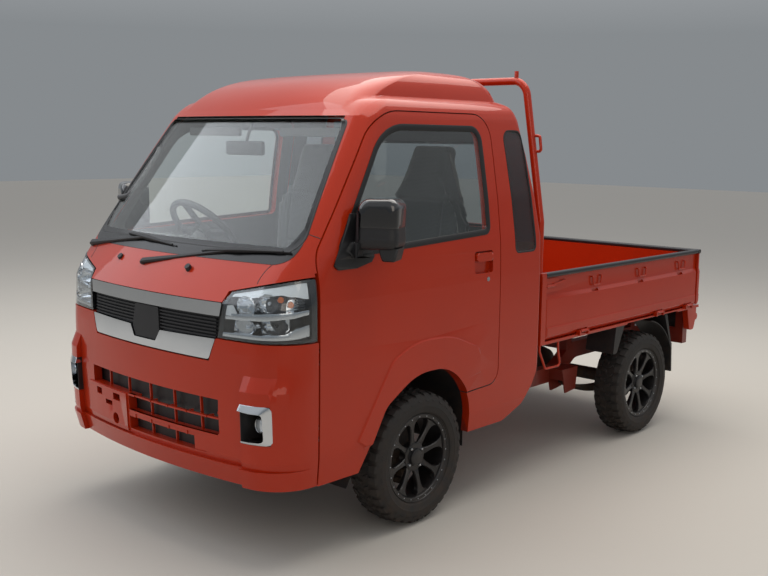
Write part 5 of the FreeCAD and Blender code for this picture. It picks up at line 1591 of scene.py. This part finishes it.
@dataclass
class Cabin:
    """What shows through the glass: dials, vents, radio, visors, mirror and grab handle. Sizes in millimetres."""

    vents: tuple[float, ...] = (-560.0, -95.0, 95.0, 560.0)
    dials: tuple[float, ...] = (-395.0, -285.0)
    marks: int = 11
    knobs: tuple[float, ...] = (-62.0, 0.0, 62.0)
    # Two corners, the rounding and the finish's number: radio, its screen, glove box, visors, mirror, shift lever
    blocks: tuple[tuple[Point, Point, float, int], ...] = (
        ((-96, -1330, 960), (96, -1302, 1030), 5, 0),
        ((-84, -1304, 974), (84, -1299, 1016), 2, 2),
        ((250, -1325, 962), (610, -1303, 1030), 10, 1),
        ((130, -1098, 1612), (490, -1080, 1650), 7, 1),
        ((-490, -1098, 1612), (-130, -1080, 1650), 7, 1),
        ((-118, -1186, 1532), (118, -1160, 1592), 10, 0),
        ((-16, -1296, 770), (16, -1262, 905), 10, 0),
    )
    mirror_stalk: tuple[Point, ...] = ((0, -1165, 1590), (0, -1150, 1630), (0, -1128, 1668))
    grip: tuple[Point, ...] = (
        (-636, -1386, 1330), (-588, -1366, 1342), (-570, -1330, 1385), (-560, -1250, 1492), (-562, -1216, 1540),
        (-598, -1196, 1560),
    )

    def build(self, row: Repeat) -> None:
        """Makes the cabin's fittings.

        Args:
            row: the tree that repeats a shape in a row.
        """
        fittings = bmesh.new()
        dark, trim = 0, 1
        for x in self.vents:
            slab(fittings, (x - 62, -1336, 1050), (x + 62, -1298, 1112), 8, dark)
        for block in self.blocks:
            slab(fittings, *block)
        tube(fittings, smooth_route(self.mirror_stalk), 7, 10, dark)
        tube(fittings, smooth_route(self.grip), 12, 14, trim)
        for x in self.knobs:
            tube(fittings, [Vector((x, y, 925)) for y in (-1312, -1286)], 17, 20, dark)
        shown("cabin_fittings", turned_out(fittings), [PLASTIC, TRIM, GLOSS_BLACK], "chassis", crease=40)
        blade = bmesh.new()
        slab(blade, (-52, -1, -1.6), (52, 8, 1.6), 0.7)
        blades = bmesh.new()
        for x in self.vents:
            start, step = Vector((x, -1300, 1058)) * MM, Vector((0, 0, 11)) * MM
            copy = row.of("vent_blades", blade.copy(), PLASTIC, 5, start, step)
            blades = joined(blades, copy)
        blade.free()
        for face in blades.faces:
            face.material_index = 0
        shown("vent_blades", blades, [PLASTIC], "chassis", crease=40)
        dials = bmesh.new()
        for x in self.dials:
            tube(dials, [Vector((x, -1292, 1136)), Vector((x, -1276, 1142))], 44, 40, 0)
            for k in range(self.marks):
                a = math.radians(-130 + 26 * k)
                at = Vector((x + 34 * math.sin(a), -1274.5, 1142 + 34 * math.cos(a)))
                tube(dials, [at, at + Vector((5 * math.sin(a), 0, 5 * math.cos(a)))], 1.0, 6, 1)
            tube(dials, [Vector((x, -1273.5, 1142)), Vector((x - 22, -1273.5, 1160))], 1.2, 6, 2)
        shown("gauge_dials", turned_out(dials), [PLASTIC, LIGHT_GUIDE, AMBER], "chassis", crease=40)


@dataclass
class SmallParts:
    """Arch liners, the dark panel behind the bumper's windows, the washer nozzles and the door locks."""

    arch_middle_y: float = FRONT_AXLE_Y - 8.0
    arch_middle_z: float = 325.0
    liner_x: tuple[float, float] = (400.0, 698.0)
    nozzles: tuple[Point, ...] = ((-299.0, -1600.0, 1102.0), (186.0, -1614.0, 1104.0))
    lock: tuple[float, float] = (-415.0, 1006.0)

    def liners(self) -> None:
        """Makes the black liners of both front wheel arches."""
        y, z = self.arch_middle_y, self.arch_middle_z
        grow = 3.0
        corners = [
            (y - 405 - grow, z - 75), (y - 226 - grow, z + 230 + grow), (y - 47, z + 334 + grow),
            (y + 182, z + 334 + grow), (y + 322 + grow, z + 176 + grow), (y + 322 + grow, z - 60),
        ]
        outline = rounded(corners, [0, 120, 300, 240, 230, 0])
        for side, hand in SIDES:
            mesh = bmesh.new()
            near, far = (spots(mesh, [(side * x, a, b) for a, b in outline]) for x in self.liner_x)
            for i in range(len(near) - 1):
                mesh.faces.new((near[i], near[i + 1], far[i + 1], far[i]))
            mesh.faces.new(near)
            wall = list(mesh.faces)
            bmesh.ops.recalc_face_normals(mesh, faces=wall)
            bmesh.ops.solidify(mesh, geom=wall, thickness=2 * MM)
            shown("arch_liner_" + hand, turned_out(mesh), [PLASTIC], "chassis", crease=40)

    def backing(self) -> None:
        """Makes the dark panel behind the bumper's windows."""
        mesh = bmesh.new()
        steps = 24
        rows = []
        for i in range(steps + 1):
            x = -505 + 1010 * i / steps
            y = -1650 + x * x / 6200
            rows.append(spots(mesh, [(x, y + d, z) for d, z in ((0, 352), (0, 640), (3, 640), (3, 352))]))
        lofted(mesh, rows)
        shown("bumper_backing", turned_out(mesh), [PLASTIC], "chassis", crease=40)

    def on_body(self) -> None:
        """Makes the washer nozzles and the door locks."""
        small = bmesh.new()
        for x, y, z in self.nozzles:
            tube(small, [Vector((x, y + 4, z - 8)), Vector((x, y - 3, z + 5)), Vector((x, y - 7, z + 9))], 13, 14)
        shown("washer_nozzles", turned_out(small), [PLASTIC], "chassis", crease=50)
        for side, hand in SIDES:
            lock = bmesh.new()
            x = HALF_WIDTH - 1.5
            for start, end, radius, sides in ((x - 6, x + 1.5, 10, 24), (x, x + 2.6, 7, 20)):
                tube(lock, [Vector((side * start, *self.lock)), Vector((side * end, *self.lock))], radius, sides)
            shown("door_lock_" + hand, turned_out(lock), [STEEL_BRIGHT], "door_" + hand, crease=40)

    def build(self) -> None:
        """Makes all the small parts."""
        self.liners()
        self.backing()
        self.on_body()


@dataclass
class Front:
    """The cab's outer face, found by looking at it from the front, and the thin pieces that lie on it.

    Sizes in millimetres.
    """

    nodes: tuple[str, ...] = ("front_panel", "windshield", "side_frame_left", "side_frame_right", "bumper")
    foot_z: float = 1145.0
    inner_z: float = 1193.0
    corner: tuple[tuple[float, float], ...] = (
        (590.0, 1146.5), (606.0, 1150.0), (622.0, 1156.0), (636.0, 1165.0), (646.0, 1178.0), (652.0, 1196.0),
        (654.0, 1216.0), (652.0, 1240.0), (646.0, 1264.0),
    )
    inner_corner: tuple[tuple[float, float], ...] = (
        (572.0, 1194.0), (583.0, 1197.0), (593.0, 1203.0), (601.0, 1211.0), (608.0, 1222.0), (614.0, 1235.0),
        (619.0, 1248.0), (624.0, 1262.0), (630.0, 1278.0),
    )
    pillar_seam: tuple[tuple[float, float], ...] = ((650.0, 1258.0), (667.0, 1252.0), (683.0, 1246.0), (697.0, 1240.0))
    hood_seam: tuple[tuple[float, float], ...] = (
        (578.0, 1145.0), (569.0, 1134.0), (563.0, 1121.0), (559.0, 1105.0), (557.5, 1090.0), (559.5, 1074.0),
    )
    lift: float = 1.3
    seam_radius: float = 2.3
    tree: BVHTree | None = None

    def __post_init__(self) -> None:
        """Joins the outer panels' faces into one searchable surface."""
        whole = joined(*(welded(node) for node in self.nodes))
        self.tree = BVHTree.FromBMesh(whole)
        whole.free()

    def at(self, x: float, z: float) -> tuple[Vector, Vector] | None:
        """The outer face's point and normal at a place seen from the front, or nothing in a gap."""
        hit, normal, _, _ = self.tree.ray_cast(Vector((x, -2000, z)) * MM, Vector((0, 1, 0)))
        if hit is None or normal.y > -0.25 or hit.y > -1.2:
            return None
        return hit / MM, normal

    def bridged_y(self, x: float, z: float, span: tuple[float, float], otherwise: float) -> float:
        """How far forward the face reaches over an opening.

        Args:
            x: the place's X.
            z: the place's height.
            span: the heights below and above the opening where the face is whole.
            otherwise: the answer where there is no face.

        Returns:
            The Y of the straight line between the face below and the face above.
        """
        low, high = span
        above, below = self.at(x, high), self.at(x, low)
        if above is None or below is None:
            return otherwise
        return below[0].y + (above[0].y - below[0].y) * (z - low) / (high - low)

    def column(self, low: tuple[float, float], high: tuple[float, float], lift: float) -> list[Vector]:
        """Points on the face between two places, with gaps bridged."""
        shares = (0.0, 0.2, 0.4, 0.6, 0.8, 0.9, 1.0)
        found = []
        for k in shares:
            spot = self.at(low[0] + (high[0] - low[0]) * k, low[1] + (high[1] - low[1]) * k)
            found.append(None if spot is None else spot[0] + spot[1] * lift)
        if found[0] is None or found[-1] is None:
            return []
        for i, p in enumerate(found):
            bridge = found[0].lerp(found[-1], shares[i])
            if p is None or (p - bridge).length > 7:
                found[i] = bridge
        return found

    def screen_foot(self) -> None:
        """Makes the black foot of the windshield, which ends in rounded corners."""
        low = [(x, self.foot_z) for x in range(0, 576, 25)] + list(self.corner)
        high = [(x * 0.97, self.inner_z) for x in range(0, 576, 25)] + list(self.inner_corner)
        low = [(-x, z) for x, z in reversed(low[1:])] + low
        high = [(-x, z) for x, z in reversed(high[1:])] + high
        mesh = bmesh.new()
        columns = []
        for a, b in zip(low, high):
            top = self.column(a, b, self.lift)
            under = self.column(a, b, 0.2)
            if top and under:
                columns.append(spots(mesh, [*top, *reversed(under)]))
        lofted(mesh, columns)
        shown("screen_foot", turned_out(mesh), [FRIT], "chassis", crease=50)

    def seams(self) -> None:
        """Marks the joints of the pressed panels round the windshield's corners."""
        mesh = bmesh.new()
        for line in (self.pillar_seam, self.hood_seam):
            for side in (1, -1):
                route = []
                for (x0, z0), (x1, z1) in zip(line, line[1:]):
                    for k in range(5):
                        spot = self.at(side * (x0 + (x1 - x0) * k / 5), z0 + (z1 - z0) * k / 5)
                        if spot is not None:
                            route.append(spot[0] - spot[1] * self.lift)
                if len(route) > 2:
                    tube(mesh, route, self.seam_radius, 8)
        shown("panel_seams", turned_out(mesh), [SEAL], "chassis", crease=60)


@dataclass
class FogFrames:
    """Bright frames of the fog lamps, their black boxes and the bumper's corner beside them. Sizes in millimetres."""

    front: Front
    left: float = 555.0
    right: float = 676.0
    pocket_right: float = 678.0
    low: float = 494.0
    high: float = 642.0
    back_y: float = -1549.0
    wall: float = 3.0
    block_from: float = 558.0
    whole_at: tuple[float, float] = (486.0, 650.0)

    def face_y(self, x: float, z: float) -> float:
        """How far forward the bumper's corner block reaches at a place."""
        return self.front.bridged_y(max(x, self.block_from), z, self.whole_at, -1640.0)

    def frame(self, side: int) -> BMesh:
        """The bright frame, open on its inner side."""
        corners = [
            (556.0, 495.0, 556.0, 503.0, 3.0), (595.0, 495.0, 595.0, 503.5, 3.5), (635.0, 495.0, 632.0, 505.0, 4.0),
            (658.0, 495.0, 644.0, 508.0, 5.0), (670.0, 499.0, 650.0, 514.0, 6.0), (676.0, 508.0, 652.0, 522.0, 7.0),
            (676.0, 550.0, 652.0, 550.0, 8.0), (676.0, 600.0, 651.0, 594.0, 9.0), (675.0, 628.0, 649.0, 608.0, 10.0),
            (669.0, 638.0, 644.0, 612.0, 11.0), (656.0, 642.0, 634.0, 613.0, 11.0), (610.0, 642.0, 605.0, 614.0, 12.0),
            (585.0, 642.0, 580.0, 616.0, 12.0), (557.0, 642.0, 552.0, 618.0, 12.0),
        ]
        mesh = bmesh.new()
        rings = []
        for x, z, xi, zi, proud in corners:
            outer, inner = self.face_y(x, z), self.face_y(xi, zi)
            section = [(x, outer + 6, z), (x, outer - 1.2, z), (xi, inner - proud, zi), (xi, inner + 20, zi)]
            rings.append(spots(mesh, [(side * a, b, c) for a, b, c in section]))
        lofted(mesh, rings)
        return turned_out(mesh)

    def box(self, side: int) -> BMesh:
        """The black box behind the frame, open to the front."""
        mesh = bmesh.new()
        x0, x1, z0, z1 = self.left, self.pocket_right - 1, self.low + 1, self.high - 1
        outline = [(x0, z0), (600, z0), (645, z0), (x1, z0), (x1, 570)]
        outline += [(x1, z1), (645, z1), (600, z1), (x0, z1), (x0, 570)]
        rings = []
        for wall, back in ((0.0, None), (0.0, self.back_y), (self.wall, self.back_y - self.wall), (self.wall, None)):
            ring = []
            for x, z in outline:
                y = self.face_y(x, z) + 1.0 if back is None else back
                ring.append((side * min(max(x, x0 + wall), x1 - wall), y, min(max(z, z0 + wall), z1 - wall)))
            rings.append(spots(mesh, ring))
        lofted(mesh, rings[:2], caps=(1,))
        lofted(mesh, rings[2:], caps=(0,))
        lofted(mesh, [rings[3], rings[0]], caps=())
        return turned_out(mesh)

    def corner(self, side: int) -> BMesh:
        """The bumper's skin between the frame and the door's side of the pocket."""
        mesh = bmesh.new()
        xs = [self.right - 5 + i * 5.0 for i in range(8)]
        zs = [self.low - 5 + i * 17.7 for i in range(10)]
        plated(
            mesh,
            [[spots(mesh, [(side * x, self.face_y(x, z) - lift, z) for z in zs]) for x in xs] for lift in (0.25, -2.0)],
        )
        return turned_out(mesh)

    def build(self) -> None:
        """Makes both frames, boxes and corners, and keeps the grille's bright bars."""
        bars = welded("chrome_trim")
        frames = [f for f in bars.faces if abs(f.calc_center_median().x) > 0.5]
        bmesh.ops.delete(bars, geom=frames, context="FACES")
        shown("grille_bars", flattened(bars), [CHROME], "chassis", ["chrome_trim"], bevel_mm=1.6)
        for side, hand in SIDES:
            shown(f"fog_frame_{hand}", self.frame(side), [CHROME], "chassis", crease=20, bevel_mm=1.2)
            shown(f"fog_box_{hand}", self.box(side), [PLASTIC], "chassis", crease=30)
            shown(f"bumper_corner_{hand}", self.corner(side), [PAINT], "chassis", crease=60)


@dataclass
class Lattice:
    """The bumper's openings: three rows of wide windows with thin bars set back in them. Sizes in millimetres."""

    front: Front
    windows: tuple[tuple[float, float, float, float], ...] = (
        (-424.0, 424.0, 562.0, 634.0), (-128.0, 421.0, 494.0, 555.0), (-128.0, 288.0, 415.0, 468.0),
    )
    rails: tuple[tuple[float, ...], ...] = (
        (-129.0, 429.0, 555.0, 562.0, 14.0), (-129.0, 429.0, 468.0, 494.0, 12.0), (287.0, 358.0, 413.0, 470.0, 4.0),
    )
    uprights: tuple[float, ...] = (-310.0, -155.0, 0.0, 155.0, 310.0)
    bar: float = 6.0
    set_back: float = 20.0
    backing_depth: float = 31.0
    whole_at: tuple[float, float] = (402.0, 642.0)

    def face_y(self, x: float, z: float) -> float:
        """How far forward the bumper's face reaches at a place among the openings."""
        return self.front.bridged_y(x, z, self.whole_at, -1690.0)

    def slat(self, mesh: BMesh, x: tuple[float, float], z: tuple[float, float], near: float, far: float) -> None:
        """Adds a bar that follows the bumper's face between two depths behind it."""
        count = max(1, int((x[1] - x[0]) / 20))
        rings = []
        for i in range(count + 1):
            at = x[0] + (x[1] - x[0]) * i / count
            section = [(z[0], near), (z[1], near), (z[1], far), (z[0], far)]
            rings.append(spots(mesh, [(at, self.face_y(at, h) + d, h) for h, d in section]))
        lofted(mesh, rings)

    def opened(self, mesh: BMesh) -> BMesh:
        """Cuts the windows through the bumper.

        Args:
            mesh: the bumper; it is freed.

        Returns:
            The bumper with its windows.
        """
        blocks = bmesh.new()
        for x0, x1, z0, z1 in self.windows:
            corners = [(x0, z0), (x1, z0), (x1, z1), (x0, z1)]
            lofted(blocks, [spots(blocks, [(x, y, z) for x, z in corners]) for y in (-1760, -1610)])
        work = [in_scene("bumper_work", mesh), in_scene("window_work", outward(blocks))]
        cut = work[0].modifiers.new("windows", "BOOLEAN")
        cut.operation = "DIFFERENCE"
        cut.solver = "EXACT"
        cut.object = work[1]
        finished(work[0])
        result = bmesh.new()
        result.from_mesh(work[0].data)
        for obj in work:
            bpy.data.objects.remove(obj)
        return result

    def build(self) -> None:
        """Makes the bumper with its windows and bars."""
        whole = self.opened(welded("bumper"))
        shown("bumper_skin", flattened(whole), [PAINT], "chassis", ["bumper"], 12, 1.4)
        bars = bmesh.new()
        for x0, x1, z0, z1, depth in self.rails:
            self.slat(bars, (x0, x1), (z0, z1), 0.0, depth)
        for x in self.uprights:
            low = 408.0 if -120 < x < 300 else 490.0 if x > -120 else 560.0
            self.slat(bars, (x - self.bar / 2, x + self.bar / 2), (low, 638.0), self.set_back, self.backing_depth)
        shown("bumper_bars", turned_out(bars), [PAINT], "chassis", crease=25, bevel_mm=0.8)


@dataclass
class Studio:
    """Pale floor, soft lamps and the photograph's camera. Places and sizes in metres, angles in degrees."""

    camera_at: Point = (3.36903, -3.96910, 1.60680)
    azimuth: float = 42.468
    elevation: float = 8.364
    roll: float = 0.764
    lens: float = 47.43
    floor_half: float = 30.0
    dark_below: float = 0.10
    bright_above: float = 0.32
    sky_strength: float = 0.6
    aim: Point = (0.0, 0.0, 0.9)
    lamps: tuple[tuple[str, Point, float, float, str], ...] = (
        ("top", (-0.2, 1.0, 5.8), 6.5, 340.0, "#fffaf2"),
        ("screen", (-4.2, -4.2, 5.6), 7.0, 190.0, "#f3f7ff"),
        ("fill", (5.5, -5.0, 3.0), 3.0, 40.0, "#fff1e0"),
    )

    def camera(self) -> None:
        """Sets the camera where the photograph was taken."""
        data = bpy.data.cameras.new("camera")
        data.lens = self.lens
        data.sensor_width = 36.0
        data.clip_end = 200.0
        a, e, r = (math.radians(v) for v in (self.azimuth, self.elevation, self.roll))
        back = Vector((math.sin(a) * math.cos(e), -math.cos(a) * math.cos(e), math.sin(e)))
        right = Vector((0, 0, 1)).cross(back).normalized()
        up = back.cross(right)
        x = right * math.cos(r) + up * math.sin(r)
        y = up * math.cos(r) - right * math.sin(r)
        turn = Matrix((x, y, back)).transposed().to_4x4()
        eye = bpy.data.objects.new("camera", data)
        eye.matrix_world = Matrix.Translation(self.camera_at) @ turn
        bpy.context.collection.objects.link(eye)
        bpy.context.scene.camera = eye

    def lamp(self, name: str, at: Point, size: float, watts: float, tint: str) -> None:
        """Hangs one soft square lamp that faces the truck.

        Args:
            name: the lamp's name.
            at: where it hangs, in metres.
            size: its edge, in metres.
            watts: its power.
            tint: its colour.
        """
        data = bpy.data.lights.new(name, "AREA")
        data.size = size
        data.energy = watts
        data.color = linear(tint)[:3]
        lamp = bpy.data.objects.new(name, data)
        away = Vector(at) - Vector(self.aim)
        lamp.matrix_world = Matrix.Translation(at) @ away.to_track_quat("Z", "Y").to_matrix().to_4x4()
        bpy.context.collection.objects.link(lamp)

    def floor(self) -> None:
        """Lays the pale floor."""
        half = self.floor_half
        mesh = bpy.data.meshes.new("floor")
        corners = [(-half, -half, 0), (half, -half, 0), (half, half, 0), (-half, half, 0)]
        mesh.from_pydata(corners, [], [(0, 1, 2, 3)])
        ground = bpy.data.objects.new("floor", mesh)
        bpy.context.collection.objects.link(ground)
        mesh.materials.append(FLOOR.material())

    def sky(self) -> None:
        """Lights the scene evenly from a pale sky."""
        world = bpy.data.worlds.new("sky")
        bpy.context.scene.world = world
        world.use_nodes = True
        tree = world.node_tree
        tree.nodes.clear()
        place = add(tree, "ShaderNodeTexCoord").outputs["Generated"]
        height = add(tree, "ShaderNodeSeparateXYZ", {"Vector": place}).outputs["Z"]
        share = add(tree, "ShaderNodeMapRange", {"Value": height, 1: self.dark_below, 2: self.bright_above}).outputs[0]
        low, high = linear("#a9aeb2"), linear("#f4f7fb")
        colour = add(tree, "ShaderNodeMix", {0: share, 6: low, 7: high}, data_type="RGBA").outputs[2]
        light = add(tree, "ShaderNodeBackground", {"Color": colour, "Strength": self.sky_strength})
        add(tree, "ShaderNodeOutputWorld", {"Surface": light.outputs[0]})

    def build(self) -> None:
        """Sets the floor, the lamps and the camera."""
        self.floor()
        self.sky()
        for lamp in self.lamps:
            self.lamp(*lamp)
        self.camera()
        bpy.context.scene.view_settings.view_transform = "Standard"


def main() -> None:
    """Builds the dressed truck and reports each piece."""
    logging.basicConfig(level=logging.INFO, format="%(message)s")
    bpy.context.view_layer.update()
    dress_frame()
    ring = Repeat("around_axle", True)
    for corner, side, axle_y in CORNERS:
        Wheel(corner, side, axle_y).build(ring)
    Panels().build()
    Glazing().build()
    Mirrors().build()
    Wipers().build()
    for side in (1.0, -1.0):
        HeadLamp(side).build()
    SmallLamps().build()
    row = Repeat("in_a_row", False)
    front = Front()
    front.screen_foot()
    front.seams()
    Lattice(front).build()
    FogFrames(front).build()
    Seats().build()
    Cabin().build(row)
    SmallParts().build()
    Studio().build()


if __name__ == "__main__":
    main()
